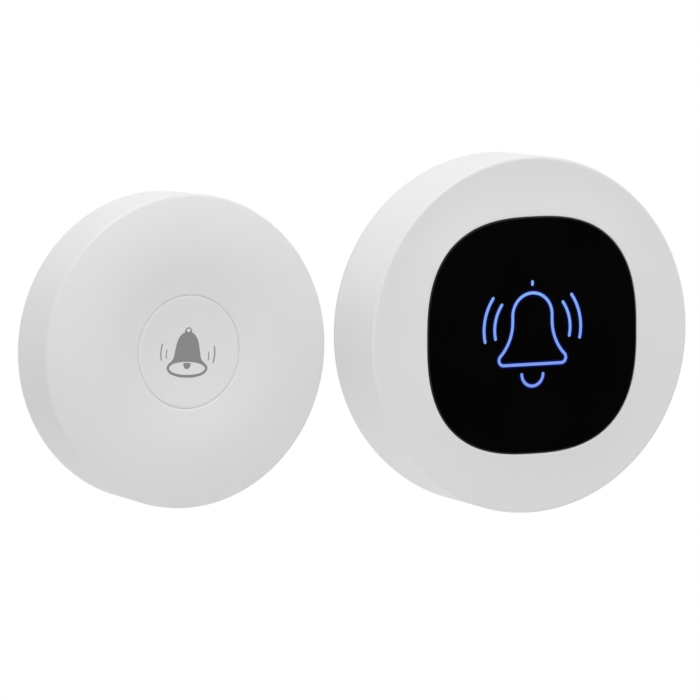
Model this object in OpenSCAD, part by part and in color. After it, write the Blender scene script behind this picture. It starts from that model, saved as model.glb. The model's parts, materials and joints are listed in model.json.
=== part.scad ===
// Kinetic wireless doorbell: a round push button that makes its own power, and a plug-in chime.
// Both units are drawn on the bench, face up: x to the right, y up the wall, z out of the wall.
// on_wall() then stands them on the wall plane Y = 0, with their faces toward -Y.

/* [Layout] */
// Clear distance between the rims of the two units
unit_gap = 9; // [6:0.5:60]

/* [Button unit] */
// Outer diameter of the dished cover
push_d = 70; // [66:1:80]
// Height of the straight side, up to the rounded rim
push_side_h = 14.6; // [14.6:0.2:17]
// Width of the rounded shoulder, from the side to the crest
push_shoulder = 13; // [12:0.5:14]
// Rise of the crest of the face above the straight side
push_rise = 3.2; // [2.8:0.1:3.6]
// Depth of the dish below the crest
push_dish = 1.8; // [1.4:0.1:2.2]
// Thickness of the side wall
push_wall = 2; // [1.8:0.1:2.2]
// Diameter of the moving cap
cap_d = 25; // [24:0.2:26]
// Radial gap round the moving cap
cap_gap = 0.15; // [0.1:0.05:0.3]
// Travel of the moving cap
press_travel = 1.5; // [1:0.1:1.8]
// Distance between the two wall screws
wall_screw_span = 48; // [46:0.5:50]

/* [Generator] */
// Reach of the rocker arm, from its pivot to the cap's plunger
arm_reach = 10.5; // [9.6:0.1:10.6]
// Gap between the two pole plates, which is also the magnet's height
pole_gap = 3; // [2.8:0.1:3.2]
// Gap between the core and the wall of the base
core_margin = 0.55; // [0.5:0.05:2]

/* [Chime unit] */
// Outer diameter of the shell
chime_d = 80; // [74:1:90]
// Height of the straight side, up to the rounded rim
chime_side_h = 20; // [20:0.2:23]
// Rise of the face from the rim to the panel
face_rise = 1; // [0.6:0.1:1.4]
// Thickness of the side wall
chime_wall = 2.4; // [2.2:0.1:2.6]
// Width of the white frame left and right of the dark panel
panel_margin = 13.5; // [13:0.5:15]
// Squareness of the panel: 2 is a circle, larger is squarer
panel_power = 2.65; // [2.4:0.05:3]
// Thickness of the dark panel
panel_t = 2; // [1.6:0.1:2.2]
// Angle of each side key above and below the middle
key_angle = 12; // [11:0.5:14]
// Travel of the side keys
key_travel = 0.5; // [0.3:0.1:0.7]

/* [Plug] */
// Diameter of the plug pins
pin_d = 4; // [3.8:0.1:4.2]
// Length of the plug pins outside the plug body
pin_len = 19; // [17:0.5:20]
// Distance between the plug pins
pin_span = 19; // [18.4:0.1:19.4]
// Length of the plug body behind the chime
boss_len = 16.5; // [10:0.5:18]

/* [Speaker] */
// Distance from the side of the chime to the speaker
speaker_margin = 4.8; // [4.5:0.1:5.5]
// Distance from the plug body to the speaker
speaker_gap = 3.2; // [3:0.1:4]
// Travel of the cone each way
cone_travel = 0.3; // [0.15:0.05:0.35]

/* [Hidden] */
$fn = 72;

// Shared clearances
cut = 0.02;            // overshoot of a cutting shape
screw_fit = 0.03;      // radial gap round a screw in its pilot hole
seat_gap = 0.2;        // gap between moving pieces at rest
snug = 0.1;            // gap between fixed pieces that slide together

// Spacing of the units
push_r = push_d / 2;
chime_r = chime_d / 2;
unit_spacing = push_r + chime_r + unit_gap;

// Button unit, face: a convex shoulder tangent to a shallow bowl
rim_round = 1;
crest_r = push_r - push_shoulder;
shoulder_run = push_r - rim_round - crest_r;
shoulder_r = (pow(push_rise, 2) - pow(rim_round, 2) + pow(shoulder_run, 2)) / (2 * (push_rise - rim_round));
crest_z = push_side_h + push_rise;
shoulder_z = crest_z - shoulder_r;
bowl_r = (pow(crest_r, 2) + pow(push_dish, 2)) / (2 * push_dish) - shoulder_r;
bowl_z = crest_z - push_dish;
join_r = crest_r * bowl_r / (shoulder_r + bowl_r);
join_z = bowl_z + bowl_r - sqrt(pow(bowl_r, 2) - pow(join_r, 2));
rim_share = shoulder_r / (shoulder_r - rim_round);

// Button unit, case
skirt_z = 0.8;
push_draft = 0.5;
base_back = 0.6;
base_floor = 2.2;
skirt_in_r = push_r - push_wall;
base_r = skirt_in_r - 0.25;
base_wall = 1.7;
base_in_r = base_r - base_wall;
base_wall_top = 5;
gasket_z = 3.2;
gasket_h = 1;
gasket_depth = 0.7;
pad_r = 18;
pad_t = 1;
cover_post = 2.8;
cover_post_r = push_r - 7.5;
cover_screw = 1;
head_h = 0.9;

// Button unit, moving cap
cap_r = cap_d / 2;
cap_ceiling = bowl_z - 2.3;
seal_t = 0.5;
flange_t = 1;
flange_r = cap_r + 1.4;
cap_bottom = cap_ceiling - seal_t - flange_t;
cap_recess_r = 8.4;
guide_y = 11;
guide_r = 1.2;
guide_post = 2.6;
guide_post_top = base_floor + 3.8;
spring_wire = 0.25;
spring_r = 1.95;
spring_turns = 5.5;
plunger_r = 2;

// Generator: an E core, with the rocker's pole plates round the middle leg
press_angle = press_travel / arm_reach * 180 / PI;
pivot_x = -arm_reach;
frame_t = 1;
limb_t = 1;
plate_t = 1;
air = 0.12;
core_w = 6;
plate_w = 7.2;
cheek_t = 1.2;
hub_r = 2.4;
magnet_x = pivot_x - hub_r - snug;
magnet_len = 2.4;
plate_len = 5;
plate_reach = pivot_x - magnet_x + plate_len;
limb_z = base_floor + frame_t;
pivot_z = limb_z + limb_t + air + plate_t + pole_gap / 2;
pack_h = pole_gap + 2 * plate_t;
leg_z = pivot_z - pole_gap / 2 * cos(press_angle) + plate_reach * sin(press_angle) + air;
leg_top = pivot_z + pole_gap / 2 - air;
top_limb_z = pivot_z + pack_h / 2 * cos(press_angle) + plate_reach * sin(press_angle) + air;
leg_tip_x = magnet_x - magnet_len - 0.6;
flange_x = magnet_x - plate_len - 1.1;
bobbin_t = 0.8;
core_back = 1.6;
core_left = core_margin - base_in_r;
bobbin_len = flange_x - core_left - core_back - 0.2;
coil_len = bobbin_len - 2 * bobbin_t;
bobbin_w = 12.8;
arm_top = pivot_z + 2;
arm_t = 1.6;
arm_w = 5.2;
pivot_r = 1;
pivot_fit = 0.05;
frame_cheek_y = plate_w / 2 + cheek_t + 0.6;
frame_cheek_t = 1.4;
ear_x = pivot_x - 5.5;
ear_y = plate_w / 2 + 6.9;
ear_r = 2.6;

// Button unit, circuit board
push_board_z = 4.2;
push_board_t = 1;
push_board_x = 4.6;
push_board_r = cover_post_r - 2;
stake_r = 0.9;
stake_post = 2;
stake_x = 12;
stake_y = push_board_r - 8.5;
push_top = push_board_z + push_board_t;
lead_r = 0.35;
lead_y = 7.7;

// Coiled antennas of both units
antenna_r = 2;
antenna_wire = 0.3;
antenna_pitch = 1.2;

// Chime unit, shell
rear_t = 1.6;
chime_draft = 0.6;
chime_edge = 0.7;
shell_z = rear_t + 0.2;
rim_top = chime_side_h + chime_edge;
face_z = rim_top + face_rise;
shell_in_r = chime_r - chime_wall;
panel_h = chime_r - panel_margin;
panel_gap = 0.12;
tape_t = 0.2;
panel_z = face_z - panel_t;
ledge_z = panel_z - tape_t;
ledge_t = 1.6;
ledge_w = 3;
window_h = panel_h - ledge_w;
ceiling = rim_top - 1.8;
outline_steps = 96;
flare_steps = 6;

// Chime unit, fixings
case_post = 2.9;
case_post_r = chime_r - 6.9;
case_screw = 1;
led_post_x = panel_h + 2.2;
led_post = 2.4;
small_screw = 0.9;
board_post = 2.5;
board_post_r = chime_r - 9.6;
board_post_angles = [90, 180, -30];

// Chime unit, boards
board_t = 1.6;
board_z = 9.4;
board_top = board_z + board_t;
board_r = chime_r - 5.5;
case_post_x = case_post_r * cos(45);
led_board_t = 1;
led_board_z = board_top + 2.9;
led_top = led_board_z + led_board_t;
light_gap = ledge_z - ledge_t;
diffuser_t = 1;

// Chime unit, plug
pin_r = pin_d / 2;
shank_r = pin_r - 0.5;
sleeve_len = 10;
boss_w = 34;
boss_h = 14;
boss_round = 2;
plug_flange_t = 1.6;
plug_flange_z = rear_t + plug_flange_t;
pin_head_t = 1;
contact_t = 0.4;

// Chime unit, side keys
key_w = 7;
key_h = 3;
key_proud = 0.6;
key_fit = 0.15;
key_z = board_top + 1.3;
key_flange_out = shell_in_r - 0.6;
key_flange_t = 1;
stem_in = key_flange_out - 2.6;
switch_r0 = stem_in - 4.6;
switch_len = 3.4;
switch_h = 2.6;
switch_plunger = 0.8;

// Chime unit, speaker
speaker_r = (chime_r - speaker_margin - boss_h / 2 - speaker_gap) / 2;
speaker_y = speaker_r + speaker_margin - chime_r;
sound_hole = 0.8;
sound_pitch = 3.6;
gasket_t = 0.5;
rim_z0 = rear_t + gasket_t;
rim_h = 1.2;
rim_back = rim_z0 + rim_h;
ledge_back = rim_z0 + 0.8;
yoke_r = 6.8;
yoke_z = 5.6;
yoke_top = board_z - 0.3;
coil_in = 3.1;

// Colours
WHITE_ABS = [0.93, 0.93, 0.92];
GREY_ABS = [0.8, 0.8, 0.79];
BLACK_GLOSS = [0.02, 0.02, 0.025];
RUBBER = [0.2, 0.2, 0.21];
STEEL = [0.7, 0.71, 0.72];
BRASS = [0.78, 0.66, 0.4];
COPPER = [0.75, 0.42, 0.22];
IRON = [0.45, 0.46, 0.48];
MAGNET = [0.6, 0.61, 0.63];
BOARD = [0.06, 0.35, 0.2];
CHIP = [0.08, 0.08, 0.09];
MILKY = [0.9, 0.95, 1];
PAPER = [0.16, 0.16, 0.17];

// Placing

module on_wall() {
    rotate([90, 0, 0]) children();
}

module push_unit() {
    translate([-unit_spacing, 0, 0]) on_wall() children();
}

module chime_unit() {
    on_wall() children();
}

// Shapes that several pieces share

function direction(v) = v / norm(v);

function heading(path, i) = direction(path[min(i + 1, len(path) - 1)] - path[max(i - 1, 0)]);

function helix(r, turns, length, steps = 8) = [
    for (i = [0:round(turns * steps)])
        [r * cos(360 * i / steps), r * sin(360 * i / steps), length * i / round(turns * steps)]
];

// Polar outline of a rounded square with half width h
function squircle_at(h, a) =
    h / pow(pow(abs(cos(a)), panel_power) + pow(abs(sin(a)), panel_power), 1 / panel_power);

// Least distance between stretches of one path that lie at least skip points apart, less the wire
function self_gap(path, wire, skip) = min([
    for (i = [0:len(path) - 1 - skip], j = [i + skip:len(path) - 1]) norm(path[i] - path[j])
]) - 2 * wire;

// Closed skin over rings of points, each seen counterclockwise from the last ring
module skin(rings) {
    count = len(rings[0]);
    last = len(rings) - 1;
    walls = [
        for (i = [0:last - 1], k = [0:count - 1])
            let (a = i * count + k, b = i * count + (k + 1) % count, c = b + count, d = a + count)
            each [[a, d, c], [a, c, b]]
    ];
    first_cap = [for (k = [0:count - 1]) k];
    last_cap = [for (k = [count - 1:-1:0]) last * count + k];
    polyhedron([for (ring = rings) each ring], concat([first_cap, last_cap], walls));
}

// Round wire along a path, with its section set out from the direction up
module wire(path, r, up, sides = 6) {
    skin([
        for (i = [0:len(path) - 1])
            let (t = heading(path, i), u = direction(up - (up * t) * t), v = cross(t, u))
            [for (k = [0:sides - 1]) path[i] + r * (cos(360 * k / sides) * u + sin(360 * k / sides) * v)]
    ]);
}

module squircle(h) {
    polygon([
        for (k = [0:outline_steps - 1])
            let (a = 360 * k / outline_steps) squircle_at(h, a) * [cos(a), sin(a)]
    ]);
}

module squircle_plate(h, z0, z1) {
    translate([0, 0, z0]) linear_extrude(z1 - z0) squircle(h);
}

module squircle_ring(h_out, h_in, z0, z1) {
    translate([0, 0, z0]) linear_extrude(z1 - z0) difference() {
        squircle(h_out);
        squircle(h_in);
    }
}

module disc(r, z0, z1) {
    translate([0, 0, z0]) cylinder(r = r, h = z1 - z0);
}

module ring(r_out, r_in, z0, z1) {
    difference() {
        disc(r_out, z0, z1);
        disc(r_in, z0 - cut, z1 + cut);
    }
}

module block(size, at) {
    translate([at[0] - size[0] / 2, at[1] - size[1] / 2, at[2]]) cube(size);
}

module stadium(w, h) {
    square([w - h, h], center = true);
    for (side = [-1, 1]) translate([side * (w - h) / 2, 0]) circle(d = h);
}

// Outline in the x-z plane, given thickness w along y
module across(w) {
    translate([0, w / 2, 0]) rotate([90, 0, 0]) linear_extrude(w) children();
}

// Screw with its head at head_z and its shank toward +z when up is 1, or -z when up is -1
module screw(r, head_r, head_z, length, up) {
    translate([0, 0, head_z]) rotate([up > 0 ? 0 : 180, 0, 0]) {
        difference() {
            disc(head_r, -head_h, 0);
            for (turn = [0, 90])
                rotate(turn) translate([0, 0, -head_h]) cube([head_r * 1.3, 0.4, head_h], center = true);
        }
        disc(r, 0, length);
    }
}

module at_cover_posts() {
    for (a = [0, 120, 240]) rotate(a) translate([cover_post_r, 0, 0]) children();
}

module at_case_posts() {
    for (a = [45:90:315]) rotate(a) translate([case_post_r, 0, 0]) children();
}

module at_board_posts() {
    for (a = board_post_angles) rotate(a) translate([board_post_r, 0, 0]) children();
}

module at_led_posts() {
    for (side = [-1, 1]) translate([side * led_post_x, 0, 0]) children();
}

module at_speaker_posts() {
    for (side = [-1, 1]) translate([side * (speaker_r + 2.2), 0, 0]) children();
}

module at_pins() {
    for (side = [-1, 1]) translate([side * pin_span / 2, 0, 0]) children();
}

// Button unit: cover, base and seals

module bowl_cut() {
    translate([0, bowl_z + bowl_r]) circle(r = bowl_r, $fn = 360);
}

// Half section of the cover's outside, filled to the axis
module cover_outside() {
    side_r = push_r - rim_round;
    rim_touch = crest_r + (side_r - crest_r) * rim_share;
    difference() {
        union() {
            polygon([[0, skirt_z], [push_r - push_draft, skirt_z], [push_r, push_side_h], [0, push_side_h]]);
            translate([side_r, push_side_h]) circle(r = rim_round);
            intersection() {
                translate([crest_r, shoulder_z]) circle(r = shoulder_r, $fn = 360);
                translate([join_r, skirt_z]) square([rim_touch - join_r, crest_z]);
            }
            translate([0, skirt_z]) square([join_r + cut, join_z - skirt_z]);
        }
        bowl_cut();
    }
}

module push_cover() {
    step_r = flange_r + 1.6;
    roof = crest_z - 2.6;
    color(WHITE_ABS) push_unit() {
        difference() {
            rotate_extrude() difference() {
                cover_outside();
                polygon([[0, 0], [skirt_in_r, 0], [skirt_in_r, push_side_h - 1.6], [crest_r + 6, roof],
                    [step_r, roof], [step_r, cap_ceiling], [0, cap_ceiling]]);
            }
            disc(cap_r + cap_gap, 0, crest_z + 1);
        }
        difference() {
            at_cover_posts() disc(cover_post, base_floor, roof + 0.5);
            at_cover_posts() disc(cover_screw + screw_fit, base_floor - 1, base_floor + 8.5);
        }
    }
}

module push_base() {
    color(GREY_ABS) push_unit() {
        difference() {
            union() {
                disc(base_r, base_back, base_floor);
                ring(base_r, base_in_r, base_floor - cut, base_wall_top);
                for (side = [-1, 1]) {
                    translate([0, side * guide_y, 0]) disc(guide_post, base_floor - cut, guide_post_top);
                    translate([0, side * guide_y, 0]) disc(guide_r, base_floor, cap_bottom + 1.2);
                    translate([stake_x, side * stake_y, 0]) {
                        disc(stake_post, base_floor - cut, push_board_z);
                        disc(stake_r, base_floor, push_top + 0.8);
                    }
                    translate([ear_x, side * ear_y, 0]) disc(stake_r, base_floor - cut, limb_z + 0.7);
                }
            }
            ring(base_r + 1, base_r - gasket_depth, gasket_z, gasket_z + gasket_h);
            disc(pad_r + snug, base_back - 1, pad_t);
            for (side = [-1, 1]) translate([0, side * wall_screw_span / 2, 0]) disc(2.1, 0, base_floor + 1);
            at_cover_posts() {
                disc(cover_screw + 0.2, 0, base_floor + 1);
                disc(2.2, 0, base_back + head_h + 0.1);
            }
        }
    }
}

module push_foam_pad() {
    color(RUBBER) push_unit() disc(pad_r, 0, pad_t);
}

module push_gasket() {
    color(RUBBER) push_unit() ring(skirt_in_r, base_r - gasket_depth, gasket_z, gasket_z + gasket_h);
}

module cover_screws() {
    color(STEEL) push_unit() at_cover_posts() screw(cover_screw, 2, base_back + head_h + 0.1, 8, 1);
}

// Button unit: the moving cap

module push_cap() {
    tip = arm_top + seat_gap + plunger_r;
    hole_top = cap_bottom + 1.2 + press_travel + 0.4;
    color(WHITE_ABS) push_unit() {
        difference() {
            rotate_extrude() difference() {
                union() {
                    translate([0, cap_bottom]) square([cap_r, crest_z - cap_bottom]);
                    translate([0, cap_bottom]) square([flange_r, flange_t]);
                }
                bowl_cut();
                translate([0, cap_bottom - 1]) square([cap_recess_r, bowl_z - 2 - cap_bottom + 1]);
            }
            for (side = [-1, 1])
                translate([0, side * guide_y, 0]) disc(guide_r + snug, cap_bottom - 1, hole_top);
        }
        disc(plunger_r, tip, bowl_z - 2 + cut);
        translate([0, 0, tip]) sphere(r = plunger_r);
    }
}

module cap_seal() {
    color(RUBBER) push_unit() ring(flange_r, cap_r + cap_gap, cap_ceiling - seal_t, cap_ceiling);
}

spring_len = cap_bottom - guide_post_top;
spring_path = helix(spring_r, spring_turns, spring_len - 2 * spring_wire);

module push_springs() {
    z = guide_post_top + spring_wire;
    color(STEEL) push_unit() for (side = [-1, 1])
        translate([0, side * guide_y, z]) wire(spring_path, spring_wire, [0, 0, 1]);
}

// Button unit: the generator

module generator_frame() {
    plate_left = core_left + core_back;
    plate_right = pivot_x + 4;
    color(GREY_ABS) push_unit() difference() {
        union() {
            translate([plate_left, -7, base_floor]) cube([plate_right - plate_left, 14, frame_t]);
            for (side = [-1, 1]) {
                translate([ear_x, side * ear_y, base_floor]) cylinder(r = ear_r, h = frame_t);
                block([2 * ear_r, 4.5, frame_t], [ear_x, side * (ear_y - 2), base_floor]);
                block([5, frame_cheek_t, pivot_z + 2.4 - base_floor],
                    [pivot_x, side * (frame_cheek_y + frame_cheek_t / 2), base_floor]);
            }
        }
        translate([pivot_x, 10, pivot_z]) rotate([90, 0, 0]) cylinder(r = pivot_r + 0.01, h = 20);
        for (side = [-1, 1]) translate([ear_x, side * ear_y, 0]) disc(stake_r + snug, 0, limb_z + 1);
    }
}

module generator_core() {
    limb_right = magnet_x - magnet_len;
    color(IRON) push_unit() across(core_w) {
        translate([core_left, limb_z]) square([core_back, top_limb_z + limb_t - limb_z]);
        translate([core_left, limb_z]) square([limb_right - core_left, limb_t]);
        translate([core_left, top_limb_z]) square([limb_right - core_left, limb_t]);
        translate([core_left, leg_z]) square([leg_tip_x - core_left, leg_top - leg_z]);
    }
}

// Section of the bobbin's tube in the y-z plane, grown by g
module bobbin_section(g) {
    translate([-core_w / 2 - g, leg_z - g]) square([core_w + 2 * g, leg_top - leg_z + 2 * g]);
}

module along_x(x0, length) {
    translate([x0, 0, 0]) rotate([90, 0, 90]) linear_extrude(length) children();
}

module coil_bobbin() {
    low = limb_z + limb_t + snug;
    high = top_limb_z - snug;
    color(CHIP) push_unit() difference() {
        union() {
            along_x(flange_x - bobbin_len, bobbin_len) bobbin_section(0.7);
            for (x = [flange_x - bobbin_len, flange_x - bobbin_t])
                translate([x, -bobbin_w / 2, low]) cube([bobbin_t, bobbin_w, high - low]);
        }
        along_x(flange_x - bobbin_len - 1, bobbin_len + 2) bobbin_section(snug);
    }
}

module coil_winding() {
    low = limb_z + limb_t + 0.4;
    high = top_limb_z - 0.4;
    wound_w = bobbin_w - 0.8;
    color(COPPER) push_unit() along_x(flange_x - bobbin_len + bobbin_t, coil_len) difference() {
        translate([0, (low + high) / 2]) {
            square([wound_w - 3, high - low], center = true);
            square([wound_w, high - low - 3], center = true);
            for (sy = [-1, 1], sz = [-1, 1])
                translate([sy * (wound_w / 2 - 1.5), sz * ((high - low) / 2 - 1.5)]) circle(r = 1.5);
        }
        bobbin_section(0.7);
    }
}

// Two wires from the winding to the circuit board
module coil_leads() {
    z = push_top + lead_r;
    start_y = bobbin_w / 2 - 0.4 + lead_r;
    color(COPPER) push_unit() for (side = [-1, 1])
        wire([[flange_x - 4, side * start_y, z], [flange_x - 2, side * start_y, z],
            [flange_x + 1, side * (start_y + 0.9), z], [flange_x + 3, side * lead_y, z],
            [0, side * lead_y, z], [push_board_x + 3, side * lead_y, z]], lead_r, [0, 0, 1]);
}

module rocker_arm() {
    half_w = plate_w / 2;
    color(WHITE_ABS) push_unit() difference() {
        union() {
            translate([pivot_x, 0, pivot_z]) rotate([90, 0, 0])
                cylinder(r = hub_r, h = plate_w + 2 * cheek_t, center = true);
            translate([magnet_x, -half_w - cheek_t, pivot_z - pack_h / 2])
                cube([pivot_x - magnet_x, plate_w + 2 * cheek_t, pack_h]);
            for (side = [-1, 1])
                block([plate_len, cheek_t, pack_h],
                    [magnet_x - plate_len / 2 + cut, side * (half_w + cheek_t / 2), pivot_z - pack_h / 2]);
            translate([pivot_x, -arm_w / 2, arm_top - arm_t]) cube([arm_reach, arm_w, arm_t]);
            disc(arm_w / 2, arm_top - arm_t, arm_top);
        }
        translate([pivot_x, 10, pivot_z]) rotate([90, 0, 0]) cylinder(r = pivot_r + pivot_fit, h = 20);
    }
}

module rocker_magnet() {
    corner = [magnet_x - magnet_len, -plate_w / 2, pivot_z - pole_gap / 2];
    color(MAGNET) push_unit() translate(corner) cube([magnet_len, plate_w, pole_gap]);
}

module pole_plates() {
    color(IRON) push_unit() for (z = [pivot_z - pack_h / 2, pivot_z + pole_gap / 2])
        translate([magnet_x - plate_len, -plate_w / 2, z]) cube([plate_len, plate_w, plate_t]);
}

module rocker_pin() {
    half = frame_cheek_y + frame_cheek_t + 0.3;
    color(STEEL) push_unit() translate([pivot_x, half, pivot_z]) rotate([90, 0, 0])
        cylinder(r = pivot_r, h = 2 * half);
}

// Button unit: the circuit board

module push_board() {
    color(BOARD) push_unit() difference() {
        intersection() {
            disc(push_board_r, push_board_z, push_top);
            translate([push_board_x, -40, 0]) cube([40, 80, 20]);
        }
        translate([cover_post_r, 0, 0]) disc(cover_post + 0.6, 0, 20);
        for (side = [-1, 1]) translate([stake_x, side * stake_y, 0]) disc(stake_r + snug, 0, 20);
    }
}

module push_chips() {
    color(CHIP) push_unit() {
        block([5, 5, 1], [13, 0, push_top]);
        block([3.2, 2.5, 0.8], [19.5, -3.5, push_top]);
        for (i = [0:3]) block([1.6, 2.6, 1.1], [8.5 + 2.6 * i, -11.8, push_top]);
    }
}

push_capacitor_r = 2.5;
push_capacitor_h = 6;

module push_capacitor() {
    color(RUBBER) push_unit() translate([push_board_r - 5.5, -9, 0])
        disc(push_capacitor_r, push_top, push_top + push_capacitor_h);
}

push_antenna_path = helix(antenna_r, 9, 9 * antenna_pitch);

module push_antenna() {
    color(COPPER) push_unit() translate([push_board_r - 8.5, 4.5, push_top + antenna_r + antenna_wire])
        rotate([-90, 0, 0]) wire(push_antenna_path, antenna_wire, [0, 0, 1]);
}

// Chime unit: shell, rear cover and panel

// Raised face: it leaves the round rim level and flares up to the panel's outline
module flared_face() {
    foot_r = chime_r - chime_edge - 0.4;
    function ring_at(t, z) = [
        for (k = [0:outline_steps - 1])
            let (a = 360 * k / outline_steps, r = (1 - t) * foot_r + t * squircle_at(panel_h, a))
            [r * cos(a), r * sin(a), z]
    ];
    skin(concat([ring_at(0, ceiling + 0.4)],
        [for (i = [0:flare_steps]) let (t = i / flare_steps) ring_at(t, rim_top + face_rise * t * t)]));
}

module key_slot(angle) {
    rotate(angle) translate([shell_in_r - 4, 0, key_z]) rotate([90, 0, 90])
        linear_extrude(10) stadium(key_w + 2 * key_fit, key_h + 2 * key_fit);
}

module chime_shell() {
    edge_r = chime_r - chime_edge;
    color(WHITE_ABS) chime_unit() difference() {
        union() {
            difference() {
                union() {
                    rotate_extrude() {
                        polygon([[0, shell_z], [chime_r - chime_draft, shell_z], [chime_r, chime_side_h],
                            [edge_r, chime_side_h], [edge_r, rim_top], [0, rim_top]]);
                        translate([edge_r, chime_side_h]) circle(r = chime_edge);
                    }
                    flared_face();
                }
                disc(shell_in_r, 0, ceiling);
            }
            squircle_plate(panel_h + 1.2, light_gap, ceiling + cut);
            at_case_posts() disc(case_post, rear_t, ceiling + cut);
            at_led_posts() disc(led_post, led_top, ceiling + cut);
        }
        squircle_plate(panel_h + panel_gap, ledge_z, face_z + 1);
        squircle_plate(window_h, 0, face_z);
        at_case_posts() disc(case_screw + screw_fit, 0, rear_t + 9);
        at_led_posts() disc(small_screw + screw_fit, 0, led_top + 3.2);
        for (side = [-1, 1]) key_slot(side * key_angle);
    }
}

module chime_rear_cover() {
    lip_r = shell_in_r - 0.2;
    rear_r = chime_r - chime_draft - 0.4;
    bevel = 0.6;
    color(WHITE_ABS) chime_unit() difference() {
        union() {
            rotate_extrude()
                polygon([[0, 0], [rear_r - bevel, 0], [rear_r, bevel], [rear_r, rear_t], [0, rear_t]]);
            ring(lip_r, lip_r - 1, rear_t - cut, rear_t + 2.4);
            at_board_posts() disc(board_post, rear_t - cut, board_z);
            translate([0, speaker_y, 0]) {
                at_speaker_posts() disc(2, rear_t - cut, rim_back);
                for (a = [30, 90, 150, 270])
                    rotate(a) translate([speaker_r + 0.7, 0, 0]) disc(0.6, rear_t - cut, rim_back);
            }
        }
        translate([0, 0, -1]) linear_extrude(rear_t + 2) plug_outline(snug);
        at_case_posts() {
            disc(case_screw + 0.2, -1, rear_t + 1);
            disc(2.3, -1, head_h + 0.1);
        }
        at_board_posts() disc(small_screw + screw_fit, rear_t + 1, board_z + 1);
        translate([0, speaker_y, 0]) {
            at_speaker_posts() disc(small_screw + screw_fit, 0.6, rim_back + 1);
            disc(sound_hole, -1, rear_t + 1);
            for (row = [1, 2], i = [0:6 * row - 1])
                rotate(60 * (i + 0.5 * (row - 1)) / row) translate([row * sound_pitch, 0, 0])
                    disc(sound_hole, -1, rear_t + 1);
        }
    }
}

module panel_lens() {
    color(BLACK_GLOSS) chime_unit() squircle_plate(panel_h, panel_z, face_z);
}

module panel_tape() {
    color(RUBBER) chime_unit() squircle_ring(panel_h - 0.2, window_h + 0.4, ledge_z, panel_z);
}

module light_diffuser() {
    color(MILKY) chime_unit() squircle_plate(window_h - 0.2, panel_z - diffuser_t, panel_z);
}

module light_box() {
    color(WHITE_ABS) chime_unit() {
        squircle_ring(window_h - 0.2, window_h - 1.6, led_top, panel_z - diffuser_t);
        squircle_ring(panel_h - 0.6, window_h - 0.3, light_gap - 1.2, light_gap);
    }
}

module led_board() {
    color(BOARD) chime_unit() difference() {
        union() {
            squircle_plate(window_h, led_board_z, led_top);
            translate([-led_post_x, -3, led_board_z]) cube([2 * led_post_x, 6, led_board_t]);
            at_led_posts() disc(3, led_board_z, led_top);
        }
        at_led_posts() disc(small_screw + 0.15, 0, led_top + 1);
    }
}

module leds() {
    color(MILKY) chime_unit() for (sx = [-1, 1], sy = [-1, 1])
        block([3.5, 2.8, 1.4], [sx * 11, sy * 11, led_top]);
}

module led_screws() {
    color(STEEL) chime_unit() at_led_posts() screw(small_screw, 1.8, led_board_z, led_board_t + 3, 1);
}

// Chime unit: main board

module main_board() {
    color(BOARD) chime_unit() difference() {
        disc(board_r, board_z, board_top);
        at_case_posts() disc(case_post + 0.5, 0, 20);
        at_board_posts() disc(small_screw + 0.15, 0, 20);
    }
}

module board_screws() {
    color(STEEL) chime_unit() at_board_posts() screw(small_screw, 1.8, board_top, board_t + 5, -1);
}

module board_header() {
    color(CHIP) chime_unit() block([10, 2.5, led_board_z - board_top], [0, 14, board_top]);
}

module board_chips() {
    color(CHIP) chime_unit() {
        block([7, 7, 1.2], [6, -6, board_top]);
        block([5, 4, 1.4], [-10, -4, board_top]);
        block([3, 3, 1], [16, -14, board_top]);
        block([5, 4, 2.2], [10.5 - board_r, 10, board_z - 2.2]);
        block([9, 3, 3], [10, board_r - 9.5, board_z - 3]);
    }
}

// Transformer: a core with two windows, and a winding round its middle leg
transformer_w = 13;
transformer_d = 4.4;
transformer_h = 7;
transformer_y = boss_h / 2 + 12;
core_limb = 1.6;
winding_w = 9.6;
winding_d = 9;
window_w = 3.2;
middle_leg = 2 * core_limb + 0.4;

module at_transformer(z) {
    x = case_post_x - case_post - 3 - transformer_w / 2;
    chime_unit() translate([-x, transformer_y, z]) children();
}

module transformer_core() {
    color(IRON) at_transformer(board_z) across(transformer_d) difference() {
        translate([-transformer_w / 2, -transformer_h]) square([transformer_w, transformer_h]);
        for (side = [-1, 1])
            translate([side * (middle_leg + window_w) / 2 - window_w / 2, core_limb - transformer_h])
                square([window_w, transformer_h - 2 * core_limb]);
    }
}

module transformer_winding() {
    color(BRASS) at_transformer(board_z - transformer_h + core_limb + snug) difference() {
        block([winding_w, winding_d, transformer_h - 2 * core_limb - 2 * snug], [0, 0, 0]);
        block([middle_leg + 2 * snug, transformer_d + 2 * snug, 20], [0, 0, -5]);
    }
}

supply_capacitor_r = 3.8;
supply_capacitor_len = 12;

module supply_capacitor() {
    y = boss_h / 2 + 8.5;
    color(RUBBER) chime_unit() translate([3, y, board_z - supply_capacitor_r]) rotate([0, 90, 0])
        cylinder(r = supply_capacitor_r, h = supply_capacitor_len);
}

radio_w = 12;
radio_d = 9;
radio_t = 0.8;
radio_chip = 4;

module radio_module() {
    x = case_post_x - case_post - 0.6 - radio_w / 2;
    color(BOARD) chime_unit() translate([-x, -2 * radio_d, board_top]) {
        block([radio_w, radio_d, radio_t], [0, 0, 0]);
        block([radio_chip, radio_chip, 0.9], [-2, 0, radio_t - cut]);
    }
}

chime_antenna_path = helix(antenna_r, 10, 10 * antenna_pitch);

module chime_antenna() {
    color(COPPER) chime_unit() translate([7.5 - board_r, -16, board_z - antenna_r - antenna_wire])
        rotate([-90, 0, 0]) wire(chime_antenna_path, antenna_wire, [0, 0, 1]);
}

// Chime unit: plug

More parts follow.
